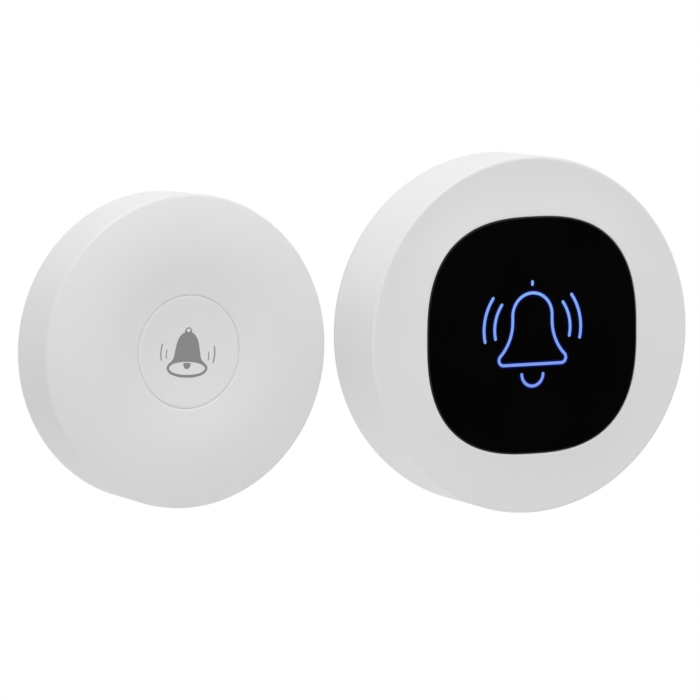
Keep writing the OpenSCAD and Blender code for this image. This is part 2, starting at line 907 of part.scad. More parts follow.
module plug_outline(g) {
    intersection() {
        circle(d = boss_w + 2 * g);
        square([boss_w + 4, boss_h + 2 * g], center = true);
    }
}

// Side view of the plug body, w wide, with a rounded end away from the chime
module plug_side(w) {
    translate([-w / 2, -boss_len + boss_round]) square([w, boss_len - boss_round + rear_t]);
    translate([-w / 2 + boss_round, -boss_len]) square([w - 2 * boss_round, boss_round + cut]);
    for (side = [-1, 1])
        translate([side * (w / 2 - boss_round), -boss_len + boss_round]) circle(r = boss_round);
}

module plug_body() {
    color(WHITE_ABS) chime_unit() difference() {
        union() {
            intersection() {
                translate([0, 0, -boss_len - 1]) linear_extrude(boss_len + rear_t + 1) plug_outline(0);
                across(boss_w) plug_side(boss_w);
                rotate(90) across(boss_w) plug_side(boss_h);
            }
            block([boss_w + 3, boss_h + 3, plug_flange_t], [0, 0, rear_t]);
        }
        at_pins() disc(shank_r + cut, -boss_len - 1, plug_flange_z + 1);
    }
}

module plug_pins() {
    tip_z = -boss_len - pin_len + pin_r;
    color(BRASS) chime_unit() at_pins() {
        translate([0, 0, tip_z]) sphere(r = pin_r);
        disc(pin_r, tip_z, -boss_len - sleeve_len);
        disc(shank_r, -boss_len - sleeve_len - cut, plug_flange_z);
        disc(pin_r + 0.4, plug_flange_z, plug_flange_z + pin_head_t);
    }
}

module plug_sleeves() {
    color(CHIP) chime_unit() at_pins() ring(pin_r, shank_r + cut, -boss_len - sleeve_len, -boss_len);
}

// Leaf springs that carry the mains from the pin heads to the board
module plug_contacts() {
    foot_z = plug_flange_z + pin_head_t;
    color(COPPER) chime_unit() at_pins() across(3) {
        translate([-2, foot_z]) square([4, contact_t]);
        translate([2 - contact_t, foot_z]) square([contact_t, board_z - foot_z]);
        translate([2 - contact_t, board_z - contact_t]) square([3, contact_t]);
    }
}

// Chime unit: speaker, facing the holes in the rear cover

module at_speaker() {
    chime_unit() translate([0, speaker_y, 0]) children();
}

module speaker_gasket() {
    color(RUBBER) at_speaker() ring(speaker_r - 0.2, speaker_r - 1.9, rear_t, rim_z0);
}

module speaker_frame() {
    inner = speaker_r - 1.3;
    color(IRON) at_speaker() rotate_extrude() polygon([
        [inner, rim_z0], [speaker_r, rim_z0], [speaker_r, rim_back], [inner + 0.3, rim_back],
        [yoke_r + 1, yoke_z + 0.2], [yoke_r + 1, yoke_z + 1.6],
        [yoke_r, yoke_z + 1.6], [yoke_r, yoke_z - 0.2],
        [inner - 0.8, rim_back], [inner - 0.8, ledge_back], [inner, ledge_back]
    ]);
}

module speaker_yoke() {
    color(STEEL) at_speaker() {
        ring(yoke_r, coil_in + 1.1, yoke_z, yoke_top - 0.8);
        disc(yoke_r, yoke_top - 0.8 - cut, yoke_top);
    }
}

module speaker_magnet() {
    color(MAGNET) at_speaker() disc(coil_in - 0.35, yoke_z + 0.2, yoke_top - 0.8 - cut);
}

// Half section of a sheet t thick between two points
module sheet(from, to, t) {
    polygon([from, to, to + [0, t], from + [0, t]]);
}

cone_edge = speaker_r - 2.9;
cone_neck = coil_in + 0.3;
cone_neck_z = ledge_back + 1.7;

// Height of the cone's underside at radius r
function cone_at(r) = ledge_back + (cone_edge - r) / (cone_edge - cone_neck) * (cone_neck_z - ledge_back);

module speaker_cone() {
    color(PAPER) at_speaker() rotate_extrude() sheet([cone_edge, ledge_back], [cone_neck, cone_neck_z], 0.3);
}

module speaker_surround() {
    roll = cone_travel + 0.2;
    outer = speaker_r - 1.4;
    middle = (outer + cone_edge - 0.7) / 2;
    color(RUBBER) at_speaker() rotate_extrude() difference() {
        union() {
            translate([cone_edge - 0.7, ledge_back - 0.25]) square([outer - cone_edge + 0.7, 0.25]);
            translate([middle, ledge_back - 0.25]) circle(r = roll, $fn = 48);
        }
        translate([middle, ledge_back - 0.25]) circle(r = roll - 0.22, $fn = 48);
        translate([0, ledge_back]) square([outer + 1, 2]);
    }
}

module dust_cap() {
    t = 0.25;
    edge_r = cone_neck + 0.6;
    edge_z = cone_at(edge_r) - t;
    color(PAPER) at_speaker() rotate_extrude() sheet([edge_r, edge_z], [0, edge_z - 0.6], t);
}

module voice_coil() {
    color(COPPER) at_speaker() {
        ring(cone_neck, coil_in, cone_neck_z, yoke_z + 1.6);
        ring(cone_neck + 0.4, cone_neck - cut, yoke_z + 0.3, yoke_z + 1.6);
    }
}

module speaker_leads() {
    color(COPPER) at_speaker() for (side = [-1, 1])
        translate([side * 4, speaker_r - 1.2, 0]) disc(0.4, rim_back, board_z);
}

module speaker_screws() {
    color(STEEL) at_speaker() at_speaker_posts() screw(small_screw, 2.8, rim_back, 2.4, -1);
}

// Chime unit: side keys, each with the plunger of its switch

// Places the children with x outward through the middle of a key
module at_key(angle) {
    chime_unit() rotate(angle) translate([0, 0, key_z]) children();
}

module outward(x0, x1) {
    translate([x0, 0, 0]) rotate([90, 0, 90]) linear_extrude(x1 - x0) children();
}

module side_key(angle) {
    color(WHITE_ABS) at_key(angle) {
        outward(key_flange_out - cut, chime_r + key_proud) stadium(key_w, key_h);
        outward(key_flange_out - key_flange_t, key_flange_out) stadium(key_w + 2, key_h - 0.6);
        outward(stem_in, key_flange_out - key_flange_t + cut) square([3, 1.8], center = true);
    }
}

module key_plunger(angle) {
    color(RUBBER) at_key(angle) translate([stem_in - 2.6, 0, 0]) rotate([0, 90, 0])
        cylinder(r = switch_plunger, h = 2.6);
}

module volume_key() {
    side_key(key_angle);
}

module melody_key() {
    side_key(-key_angle);
}

module volume_plunger() {
    key_plunger(key_angle);
}

module melody_plunger() {
    key_plunger(-key_angle);
}

module key_switches() {
    color(CHIP) for (side = [-1, 1]) at_key(side * key_angle) difference() {
        translate([switch_r0, -3, board_top - key_z]) cube([switch_len, 6, switch_h]);
        translate([stem_in - 2.6 - key_travel - 0.3, 0, 0]) rotate([0, 90, 0])
            cylinder(r = switch_plunger + snug, h = 5);
    }
}

module case_screws() {
    color(STEEL) chime_unit() at_case_posts() screw(case_screw, 2.1, head_h + 0.1, 9, 1);
}

// Least gaps between neighbouring turns, in millimetres
echo(push_spring_gap = self_gap(spring_path, spring_wire, 6));
echo(push_antenna_gap = self_gap(push_antenna_path, antenna_wire, 6));
echo(chime_antenna_gap = self_gap(chime_antenna_path, antenna_wire, 6));

push_cover();
push_base();
push_foam_pad();
push_gasket();
push_cap();
cap_seal();
push_springs();
cover_screws();
generator_frame();
generator_core();
coil_bobbin();
coil_winding();
coil_leads();
rocker_arm();
rocker_magnet();
pole_plates();
rocker_pin();
push_board();
push_chips();
push_capacitor();
push_antenna();
chime_shell();
chime_rear_cover();
panel_lens();
panel_tape();
light_diffuser();
light_box();
led_board();
leds();
led_screws();
main_board();
board_screws();
board_header();
board_chips();
transformer_core();
transformer_winding();
supply_capacitor();
radio_module();
chime_antenna();
plug_body();
plug_pins();
plug_sleeves();
plug_contacts();
speaker_frame();
speaker_gasket();
speaker_yoke();
speaker_magnet();
speaker_cone();
speaker_surround();
dust_cap();
voice_coil();
speaker_leads();
speaker_screws();
volume_key();
volume_plunger();
melody_key();
melody_plunger();
key_switches();
case_screws();
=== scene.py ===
import json
import math

import bmesh
import bpy
from mathutils import Matrix, Vector

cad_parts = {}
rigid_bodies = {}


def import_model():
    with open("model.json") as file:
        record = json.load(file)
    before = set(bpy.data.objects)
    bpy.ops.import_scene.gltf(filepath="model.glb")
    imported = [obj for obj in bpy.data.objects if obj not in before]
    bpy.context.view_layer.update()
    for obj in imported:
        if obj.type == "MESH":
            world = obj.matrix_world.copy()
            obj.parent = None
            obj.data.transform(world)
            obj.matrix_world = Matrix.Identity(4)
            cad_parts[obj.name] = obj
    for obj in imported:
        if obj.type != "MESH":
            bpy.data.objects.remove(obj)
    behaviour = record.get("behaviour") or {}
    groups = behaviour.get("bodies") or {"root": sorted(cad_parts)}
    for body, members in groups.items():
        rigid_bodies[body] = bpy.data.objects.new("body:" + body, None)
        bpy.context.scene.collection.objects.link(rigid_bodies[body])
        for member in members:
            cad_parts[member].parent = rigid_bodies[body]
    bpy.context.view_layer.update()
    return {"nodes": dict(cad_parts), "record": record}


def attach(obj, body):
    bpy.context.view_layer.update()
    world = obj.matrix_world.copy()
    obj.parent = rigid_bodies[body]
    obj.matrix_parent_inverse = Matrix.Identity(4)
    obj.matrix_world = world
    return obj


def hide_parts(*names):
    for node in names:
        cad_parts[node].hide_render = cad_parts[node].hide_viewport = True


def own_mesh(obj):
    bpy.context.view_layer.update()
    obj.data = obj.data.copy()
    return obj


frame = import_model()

mm = 0.001
unitX = {"button": -84.0, "chime": 0.0}   # where each unit's axis meets the wall, mm


# Finishes

mixShare, mixFrom, mixTo, mixOut = 0, 6, 7, 2   # the sockets of a Mix node that mixes colours


def linear(hexCode):
    channels = [int(hexCode[i:i + 2], 16) / 255 for i in (1, 3, 5)]
    return [c / 12.92 if c <= 0.04045 else ((c + 0.055) / 1.055) ** 2.4 for c in channels] + [1.0]


def addNode(tree, kind, settings, links):
    node = tree.nodes.new("ShaderNode" + kind)
    for key, value in settings.items():
        if isinstance(key, int) or key in node.inputs:
            node.inputs[key].default_value = value
        else:
            setattr(node, key, value)
    for key, (source, output) in links.items():
        tree.links.new(source.outputs[output], node.inputs[key])
    return node


def newFinish(name):
    material = bpy.data.materials.new(name)
    material.use_nodes = True
    material.node_tree.nodes.clear()
    return material, material.node_tree


# Sizes in mm: cloud is how wide the slow drift of tone is, grain the fine surface texture, depth its height.
# The grain is drawn coarser than the real one, so that it shows, and stretch draws it out along one axis, as
# rolling, drawing or winding does.
finishLooks = {
    "white_abs": {      # moulded ABS off a spark-eroded tool: satin, a very fine even grain, plain white
        "name": "mouldedWhiteAbs", "dark": "#E4E4E4", "light": "#E9E9E9", "cloud": 26, "grain": 0.45,
        "depth": 0.006, "rough": (0.36, 0.46), "ior": 1.53},
    "grey_abs": {       # the same plastic in pale grey for pieces behind the cover, off a coarser tool
        "name": "mouldedGreyAbs", "dark": "#C4C5C4", "light": "#CBCCCB", "cloud": 18, "grain": 0.6,
        "depth": 0.012, "rough": (0.46, 0.58), "ior": 1.53},
    "milky_acrylic": {  # opal acrylic: bright, slightly blue, light goes a little way into it
        "name": "opalAcrylic", "dark": "#DFE6EA", "light": "#EAF0F3", "cloud": 9, "grain": 0.5,
        "depth": 0.003, "rough": (0.22, 0.3), "ior": 1.49, "milk": 0.4},
    "black_rubber": {   # silicone rubber: dull, a little dusty, soft grey where it catches light
        "name": "mouldedSiliconeRubber", "dark": "#1A1A1B", "light": "#262627", "cloud": 6, "grain": 0.3,
        "depth": 0.02, "rough": (0.62, 0.8), "ior": 1.41},
    "black_nylon": {    # glass filled nylon: black with a dry sheen and fine flow marks
        "name": "mouldedBlackNylon", "dark": "#131415", "light": "#1D1E20", "cloud": 5, "grain": 0.35,
        "depth": 0.012, "rough": (0.4, 0.56), "ior": 1.53},
    "steel": {          # zinc plated steel: pale blue-grey metal, cloudy from the plating bath
        "name": "zincPlatedSteel", "dark": "#A9ADB2", "light": "#C6C9CC", "cloud": 2.5, "grain": 0.2,
        "depth": 0.004, "rough": (0.24, 0.38), "metal": 1.0},
    "iron": {           # soft iron: grey, dull, drawn along the sheet by rolling
        "name": "rolledSoftIron", "dark": "#66686B", "light": "#7E8083", "cloud": 4, "grain": 0.25,
        "depth": 0.012, "rough": (0.4, 0.55), "metal": 1.0, "stretch": (0.12, 1, 1)},
    "magnet": {         # nickel plated magnet: bright warm grey with a fine orange-peel skin
        "name": "nickelPlatedMagnet", "dark": "#A8A59F", "light": "#BDBAB4", "cloud": 3, "grain": 0.3,
        "depth": 0.005, "rough": (0.14, 0.24), "metal": 1.0},
    "brass": {          # nickel plated brass: near-silver with a warm cast, turned, so the marks run round
        "name": "nickelPlatedBrass", "dark": "#C2BBAA", "light": "#D3CCBC", "cloud": 5, "grain": 0.22,
        "depth": 0.004, "rough": (0.16, 0.27), "metal": 1.0, "stretch": (0.15, 1, 0.15)},
    "copper": {         # enamelled copper wire: amber lacquer over copper, one fine line for each turn
        "name": "enamelledCopperWire", "dark": "#8E4A22", "light": "#C07A45", "cloud": 0.5, "grain": 0.25,
        "depth": 0.03, "rough": (0.22, 0.34), "metal": 1.0, "stretch": (1, 0.08, 0.08)},
    "circuit_board": {  # glass epoxy under green lacquer: the weave shows faintly through the gloss
        "name": "greenLacqueredBoard", "dark": "#0E4A2A", "light": "#1B6B3F", "cloud": 1.6, "grain": 0.4,
        "depth": 0.01, "rough": (0.26, 0.36), "ior": 1.55},
    "paper": {          # pressed paper of a speaker cone: dark felted fibres
        "name": "pressedConePaper", "dark": "#1F1E1D", "light": "#38363A", "cloud": 0.8, "grain": 0.3,
        "depth": 0.04, "rough": (0.78, 0.92), "ior": 1.45}}


def makeFinish(look):
    material, tree = newFinish(look["name"])
    place = addNode(tree, "TexCoord", {}, {})
    drawn = addNode(tree, "Mapping", {"Scale": look.get("stretch", (1, 1, 1))},
                    {"Vector": (place, "Object")})
    cloud = addNode(tree, "TexNoise", {"Scale": 1 / (look["cloud"] * mm), "Detail": 2.0},
                    {"Vector": (drawn, "Vector")})
    tones = {"data_type": "RGBA", mixFrom: linear(look["dark"]), mixTo: linear(look["light"])}
    tone = addNode(tree, "Mix", tones, {mixShare: (cloud, "Fac")})
    grain = addNode(tree, "TexNoise", {"Scale": 1 / (look["grain"] * mm), "Detail": 3.0, "Roughness": 0.55},
                    {"Vector": (drawn, "Vector")})
    smooth, rough = look["rough"]
    gloss = addNode(tree, "MapRange", {"From Min": 0.3, "From Max": 0.7, "To Min": smooth, "To Max": rough},
                    {"Value": (grain, "Fac")})
    relief = addNode(tree, "Bump", {"Strength": 0.6, "Distance": look["depth"] * mm},
                     {"Height": (grain, "Fac")})
    body = {"Metallic": look.get("metal", 0.0), "Subsurface Weight": look.get("milk", 0.0),
            "Subsurface Scale": 2 * mm}
    if "ior" in look:        # a metal keeps the default
        body["IOR"] = look["ior"]
    skin = {"Base Color": (tone, mixOut), "Roughness": (gloss, "Result"), "Normal": (relief, "Normal")}
    shader = addNode(tree, "BsdfPrincipled", body, skin)
    addNode(tree, "OutputMaterial", {}, {"Surface": (shader, "BSDF")})
    return material


finishes = {slot: makeFinish(look) for slot, look in finishLooks.items()}

panelLook = {"dark": "#040405", "light": "#080809", "wave": 14, "rough": (0.05, 0.09), "specular": 0.3}
acrylicIor = 1.49


def makePanelFinish():
    # back-painted cast acrylic, polished: deep black, a clear skin, only a faint waviness in reflections
    look = panelLook
    material, tree = newFinish("backPaintedAcrylic")
    place = addNode(tree, "TexCoord", {}, {})
    wave = addNode(tree, "TexNoise", {"Scale": 1 / (look["wave"] * mm), "Detail": 1.0},
                   {"Vector": (place, "Object")})
    tones = {"data_type": "RGBA", mixFrom: linear(look["dark"]), mixTo: linear(look["light"])}
    tone = addNode(tree, "Mix", tones, {mixShare: (wave, "Fac")})
    smooth, rough = look["rough"]
    gloss = addNode(tree, "MapRange", {"To Min": smooth, "To Max": rough}, {"Value": (wave, "Fac")})
    shader = addNode(tree, "BsdfPrincipled", {"IOR": acrylicIor, "Specular IOR Level": look["specular"]},
                     {"Base Color": (tone, mixOut), "Roughness": (gloss, "Result")})
    addNode(tree, "OutputMaterial", {}, {"Surface": (shader, "BSDF")})
    return material


litLook = {"foot": "#8098EC", "top": "#86B0F0", "reach": 12, "unlit": "#101218", "rough": 0.08}


def makeLitFinish():
    # light through a clear line in the paint: even, sky blue at the top and a touch more violet at the foot
    look = litLook
    material, tree = newFinish("litSymbolWindow")
    place = addNode(tree, "TexCoord", {}, {})
    axes = addNode(tree, "SeparateXYZ", {}, {"Vector": (place, "Object")})
    height = addNode(tree, "MapRange", {"From Min": -look["reach"] * mm, "From Max": look["reach"] * mm},
                     {"Value": (axes, "Z")})
    tones = {"data_type": "RGBA", mixFrom: linear(look["foot"]), mixTo: linear(look["top"])}
    tone = addNode(tree, "Mix", tones, {mixShare: (height, "Result")})
    body = {"Base Color": linear(look["unlit"]), "Roughness": look["rough"], "IOR": acrylicIor,
            "Emission Strength": 1.0}
    shader = addNode(tree, "BsdfPrincipled", body, {"Emission Color": (tone, mixOut)})
    addNode(tree, "OutputMaterial", {}, {"Surface": (shader, "BSDF")})
    return material


haloLook = {"away": "#000000", "near": "#1C2CA4", "fall": 2.2, "unlit": "#050506", "rough": 0.07}


def makeHaloFinish():
    # light that leaks sideways under the paint: a deep blue edge that dies away within a millimetre
    look = haloLook
    material, tree = newFinish("litSymbolHalo")
    glow = addNode(tree, "Attribute", {"attribute_name": "glow"}, {})
    fall = addNode(tree, "Math", {"operation": "POWER", 1: look["fall"]}, {0: (glow, "Fac")})
    tones = {"data_type": "RGBA", mixFrom: linear(look["away"]), mixTo: linear(look["near"])}
    tone = addNode(tree, "Mix", tones, {mixShare: (fall, "Value")})
    body = {"Base Color": linear(look["unlit"]), "Roughness": look["rough"], "IOR": acrylicIor,
            "Specular IOR Level": panelLook["specular"], "Emission Strength": 1.0}
    shader = addNode(tree, "BsdfPrincipled", body, {"Emission Color": (tone, mixOut)})
    addNode(tree, "OutputMaterial", {}, {"Surface": (shader, "BSDF")})
    return material


inkLook = {"dark": "#868686", "light": "#909090", "mottle": 0.7, "rough": (0.45, 0.6), "ior": 1.5}


def makeInkFinish():
    # pad-printed ink: mid grey, dull, with the slight mottle of a soft pad
    look = inkLook
    material, tree = newFinish("padPrintedInk")
    place = addNode(tree, "TexCoord", {}, {})
    mottle = addNode(tree, "TexNoise", {"Scale": 1 / (look["mottle"] * mm), "Detail": 3.0},
                     {"Vector": (place, "Object")})
    tones = {"data_type": "RGBA", mixFrom: linear(look["dark"]), mixTo: linear(look["light"])}
    tone = addNode(tree, "Mix", tones, {mixShare: (mottle, "Fac")})
    smooth, rough = look["rough"]
    gloss = addNode(tree, "MapRange", {"To Min": smooth, "To Max": rough}, {"Value": (mottle, "Fac")})
    shader = addNode(tree, "BsdfPrincipled", {"IOR": look["ior"]},
                     {"Base Color": (tone, mixOut), "Roughness": (gloss, "Result")})
    addNode(tree, "OutputMaterial", {}, {"Surface": (shader, "BSDF")})
    return material


foamLook = {"dark": "#2B2B2C", "light": "#47474A", "cell": 0.55, "depth": 0.12, "rough": 0.9, "ior": 1.45,
            "sheen": 0.15}


def makeFoamFinish():
    # closed-cell polyethylene foam: dull charcoal with open cut cells about half a millimetre wide, each
    # painted darker towards its middle as painted shade in its pit
    look = foamLook
    material, tree = newFinish("closedCellFoam")
    place = addNode(tree, "TexCoord", {}, {})
    cells = addNode(tree, "TexVoronoi", {"Scale": 1 / (look["cell"] * mm)}, {"Vector": (place, "Object")})
    # painted shade: the colour is darkest at each cell's middle, where the bump sinks the pit deepest
    tones = {"data_type": "RGBA", mixFrom: linear(look["dark"]), mixTo: linear(look["light"])}
    tone = addNode(tree, "Mix", tones, {mixShare: (cells, "Distance")})
    relief = addNode(tree, "Bump", {"Strength": 0.7, "Distance": look["depth"] * mm},
                     {"Height": (cells, "Distance")})
    body = {"Roughness": look["rough"], "IOR": look["ior"], "Sheen Weight": look["sheen"]}
    shader = addNode(tree, "BsdfPrincipled", body,
                     {"Base Color": (tone, mixOut), "Normal": (relief, "Normal")})
    addNode(tree, "OutputMaterial", {}, {"Surface": (shader, "BSDF")})
    return material


finishes["black_acrylic"] = makePanelFinish()
litFinish = makeLitFinish()
haloFinish = makeHaloFinish()
inkFinish = makeInkFinish()
foamFinish = makeFoamFinish()
print("finishes:", len(bpy.data.materials))


# Modelling helpers. On the bench x is right, y up the wall and z out of the wall, in mm.

weld = {"points": 0.002, "slivers": 0.0005, "strokes": 0.004}   # points closer than this become one
nearZero = 1e-6
sharpFrom = 32           # degrees: an edge that turns more than this is shaded sharp
rodSides = 40


def onWall(unit):
    turned = Matrix.Rotation(math.pi / 2, 4, "X") @ Matrix.Scale(mm, 4)
    return Matrix.Translation((unitX[unit] * mm, 0, 0)) @ turned


def vertsIn(geom):
    return [g for g in geom if isinstance(g, bmesh.types.BMVert)]


def edgesIn(geom):
    return [g for g in geom if isinstance(g, bmesh.types.BMEdge)]


def quarter(steps):
    return [math.pi / 2 * i / steps for i in range(steps + 1)]   # the angles of a quarter turn


def around(radius, count, start=0):
    angles = [math.radians(start + i * 360 / count) for i in range(count)]
    return [(radius * math.cos(a), radius * math.sin(a)) for a in angles]


def closeUp(bm):
    bmesh.ops.remove_doubles(bm, verts=bm.verts[:], dist=weld["points"])
    bmesh.ops.dissolve_degenerate(bm, edges=bm.edges[:], dist=weld["slivers"])
    bmesh.ops.recalc_face_normals(bm, faces=bm.faces[:])


def finishPiece(bm, name, unit, body, material, stands=()):
    bm.transform(onWall(unit))
    mesh = bpy.data.meshes.new(name)
    bm.to_mesh(mesh)
    bm.free()
    mesh.shade_smooth()
    mesh.set_sharp_from_angle(angle=math.radians(sharpFrom))
    mesh.materials.append(material)
    piece = bpy.data.objects.new(name, mesh)
    bpy.context.scene.collection.objects.link(piece)
    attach(piece, body)
    if stands:
        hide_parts(*stands)
    return piece


# A profile is drawn in the x-z plane: set the pen down, then lines and arcs, then turn it round the z axis
def penLine(bm, tip, r, z):
    tip = bmesh.ops.extrude_vert_indiv(bm, verts=[tip])["verts"][0]
    tip.co = (r, 0, z)
    return tip


def penArc(bm, tip, r, z, degrees, steps):
    swept = bmesh.ops.spin(bm, geom=[tip], cent=(r, 0, z), axis=(0, -1, 0), angle=math.radians(degrees),
                           steps=steps)
    return vertsIn(swept["geom_last"])[0]


def lathe(bm, steps):
    bmesh.ops.spin(bm, geom=bm.verts[:] + bm.edges[:], cent=(0, 0, 0), axis=(0, 0, 1), angle=2 * math.pi,
                   steps=steps, use_merge=True)
    closeUp(bm)


def combine(bm, tool, operation):
    # cut, or join, a second closed shape with Blender's exact boolean
    made = []
    for shape, name in ((bm, "stock"), (tool, "tool")):
        mesh = bpy.data.meshes.new(name)
        shape.to_mesh(mesh)
        made.append(bpy.data.objects.new(name, mesh))
        bpy.context.scene.collection.objects.link(made[-1])
    work = made[0].modifiers.new("work", "BOOLEAN")
    work.operation = operation
    work.solver = "EXACT"
    work.object = made[1]
    graph = bpy.context.evaluated_depsgraph_get()
    result = bpy.data.meshes.new_from_object(made[0].evaluated_get(graph))
    bm.clear()
    bm.from_mesh(result)
    tool.free()
    for mesh in [o.data for o in made] + [result]:
        bpy.data.meshes.remove(mesh)
    bmesh.ops.remove_doubles(bm, verts=bm.verts[:], dist=weld["slivers"])


def rods(places, radius, foot, top):
    bm = bmesh.new()
    for x, y in places:
        bmesh.ops.create_cone(bm, cap_ends=True, segments=rodSides, radius1=radius, radius2=radius,
                              depth=top - foot, matrix=Matrix.Translation((x, y, (foot + top) / 2)))
    return bm


def addPosts(bm, post):
    # screw posts in a ring, grown onto the case that carries them
    places = around(post["away"], post["count"], post["start"])
    combine(bm, rods(places, post["radius"], post["foot"], post["top"]), "UNION")


def firmEnds(bm, border):
    # a narrow flat border keeps the light on a flat end even, right up to its rounded edge
    ends = [f for f in bm.faces if len(f.verts) > 4]     # only a flat end has more than four corners
    bmesh.ops.inset_individual(bm, faces=ends, thickness=border)


# Button unit: the dished cover

buttonForm = {"radius": 35.0, "sideTop": 14.6, "rimRound": 1.0, "shoulder": 13.0, "rise": 3.2, "dish": 1.8,
              "skirt": 0.8, "footRound": 0.3, "draft": 0.5, "wall": 2.0, "turns": 224,
              "capRadius": 12.62, "capGap": 0.05, "lip": 1.1, "lipTurn": 36, "lipRounds": 8,
              "collarDeep": 2.3, "collarR": 15.5, "ceiling": 15.2, "ceilingR": 28.0, "innerTop": 13.0,
              "steps": {"foot": 4, "rim": 10, "shoulder": 40, "bowl": 8, "lip": 5},
              "post": {"away": 27.5, "count": 3, "start": 0, "radius": 2.8, "foot": 2.2, "top": 15.7}}

# the shoulder's arc is tangent to the rim's, and the bowl's arc to the shoulder's, so no crease shows
crestR = buttonForm["radius"] - buttonForm["shoulder"]
crestZ = buttonForm["sideTop"] + buttonForm["rise"]
rimR = buttonForm["radius"] - buttonForm["rimRound"]
shoulderR = ((buttonForm["rise"] ** 2 - buttonForm["rimRound"] ** 2 + (rimR - crestR) ** 2)
             / (2 * (buttonForm["rise"] - buttonForm["rimRound"])))
shoulderZ = crestZ - shoulderR
bowlR = (crestR ** 2 + buttonForm["dish"] ** 2) / (2 * buttonForm["dish"]) - shoulderR
bowlFoot = crestZ - buttonForm["dish"]
bowlZ = bowlFoot + bowlR
capHoleR = buttonForm["capRadius"] + buttonForm["capGap"]


def lipOnBowl(edgeR, side):
    # where the rounded edge of the cover's hole (side -1) or of the cap (side 1) leaves the bowl,
    # in degrees, and the middle of that edge's arc
    lip = buttonForm["lip"]
    turn = math.radians(buttonForm["lipTurn"])
    reach = bowlR + lip
    lean = 0.0
    for _ in range(buttonForm["lipRounds"]):     # each round comes closer
        lean = math.asin((edgeR - side * lip * math.sin(turn - side * lean)) / reach)
    return math.degrees(lean), reach * math.sin(lean), bowlZ - reach * math.cos(lean)


def makeCover():
    form = buttonForm
    steps = form["steps"]
    bm = bmesh.new()
    foot = form["radius"] - form["draft"] - form["footRound"]
    rimEnd = math.degrees(math.atan2(form["sideTop"] - shoulderZ, rimR - crestR))
    bowlStart = math.degrees(math.atan2(bowlZ - shoulderZ, -crestR))
    bowlEnd, lipR, lipZ = lipOnBowl(capHoleR, -1)
    tip = first = bm.verts.new((foot, 0, form["skirt"]))
    tip = penArc(bm, tip, foot, form["skirt"] + form["footRound"], 90, steps["foot"])
    tip = penLine(bm, tip, form["radius"], form["sideTop"])
    tip = penArc(bm, tip, rimR, form["sideTop"], rimEnd, steps["rim"])
    tip = penArc(bm, tip, crestR, shoulderZ, bowlStart - rimEnd, steps["shoulder"])
    tip = penArc(bm, tip, 0, bowlZ, bowlEnd - (bowlStart - 90), steps["bowl"])
    tip = penArc(bm, tip, lipR, lipZ, form["lipTurn"], steps["lip"])
    collarFoot = bowlFoot - form["collarDeep"]
    inner = form["radius"] - form["wall"]
    # the inside: the collar round the cap's hole, the ceiling and the wall
    for r, z in ((capHoleR, collarFoot), (form["collarR"], collarFoot), (form["collarR"], form["ceiling"]),
                 (form["ceilingR"], form["ceiling"]), (inner, form["innerTop"]), (inner, form["skirt"])):
        tip = penLine(bm, tip, r, z)
    bm.edges.new((tip, first))
    lathe(bm, form["turns"])
    addPosts(bm, form["post"])
    return finishPiece(bm, "buttonCover", "button", "doorbell_set", finishes["white_abs"],
                       ["push_cover"])


makeCover()


# Button unit: the finger cap, with its plunger and guide holes underneath

capForm = {"flangeR": 13.9, "flangeTop": 13.2, "flangeFoot": 12.2, "recessR": 8.4, "recessTop": 14.0,
           "plungerR": 2.0, "plungerZ": 11.02, "guideY": 11.0, "guideR": 1.3, "guideFoot": 11.0,
           "guideTop": 15.3, "steps": {"bowl": 26, "lip": 5, "plunger": 8}}


def makeCap():
    form = capForm
    steps = form["steps"]
    bm = bmesh.new()
    capR = buttonForm["capRadius"]
    edge, lipR, lipZ = lipOnBowl(capR, 1)
    tip = bm.verts.new((0, 0, bowlFoot))
    tip = penArc(bm, tip, 0, bowlZ, edge, steps["bowl"])
    tip = penArc(bm, tip, lipR, lipZ, -buttonForm["lipTurn"], steps["lip"])
    # the flange that keeps the cap in the cover, the recess and the plunger
    for r, z in ((capR, form["flangeTop"]), (form["flangeR"], form["flangeTop"]),
                 (form["flangeR"], form["flangeFoot"]), (form["recessR"], form["flangeFoot"]),
                 (form["recessR"], form["recessTop"]), (form["plungerR"], form["recessTop"]),
                 (form["plungerR"], form["plungerZ"])):
        tip = penLine(bm, tip, r, z)
    penArc(bm, tip, 0, form["plungerZ"], -90, steps["plunger"])
    lathe(bm, buttonForm["turns"])
    guides = [(0, form["guideY"]), (0, -form["guideY"])]
    combine(bm, rods(guides, form["guideR"], form["guideFoot"], form["guideTop"]), "DIFFERENCE")
    return finishPiece(bm, "fingerCap", "button", "push_button", finishes["white_abs"],
                       ["push_cap"])


makeCap()


# Strokes: a short edge across the line is pushed ahead or swung round, with round ends. A move is its kind,
# its length or radius, and its degrees, which turn it left where they are positive.

strokeForm = {"degreesPerStep": 5, "leastSteps": 2, "endSteps": 10}


def runStroke(bm, start, heading, width, moves, rows=1):
    a = math.radians(heading)
    along = Vector((math.cos(a), math.sin(a), 0))
    left = Vector((-along.y, along.x, 0))
    middle = Vector((start[0], start[1], 0))
    spread = [bm.verts.new(middle + left * width * (i / rows - 0.5)) for i in range(rows + 1)]
    edge = [bm.edges.new(pair) for pair in zip(spread, spread[1:])]
    for kind, size, degrees in moves:
        if kind == "ahead":
            swept = bmesh.ops.extrude_edge_only(bm, edges=edge)["geom"]
            bmesh.ops.translate(bm, verts=vertsIn(swept), vec=along * size)
            middle += along * size
        else:
            side = left if degrees > 0 else -left
            centre = middle + side * size
            steps = max(strokeForm["leastSteps"], int(abs(degrees) / strokeForm["degreesPerStep"]))
            swept = bmesh.ops.spin(bm, geom=edge, cent=centre, axis=(0, 0, 1), angle=math.radians(degrees),
                                   steps=steps)["geom_last"]
            turn = Matrix.Rotation(math.radians(degrees), 3, "Z")
            middle = centre + turn @ (middle - centre)
            along = turn @ along
            left = turn @ left
        edge = edgesIn(swept)
    return middle, along


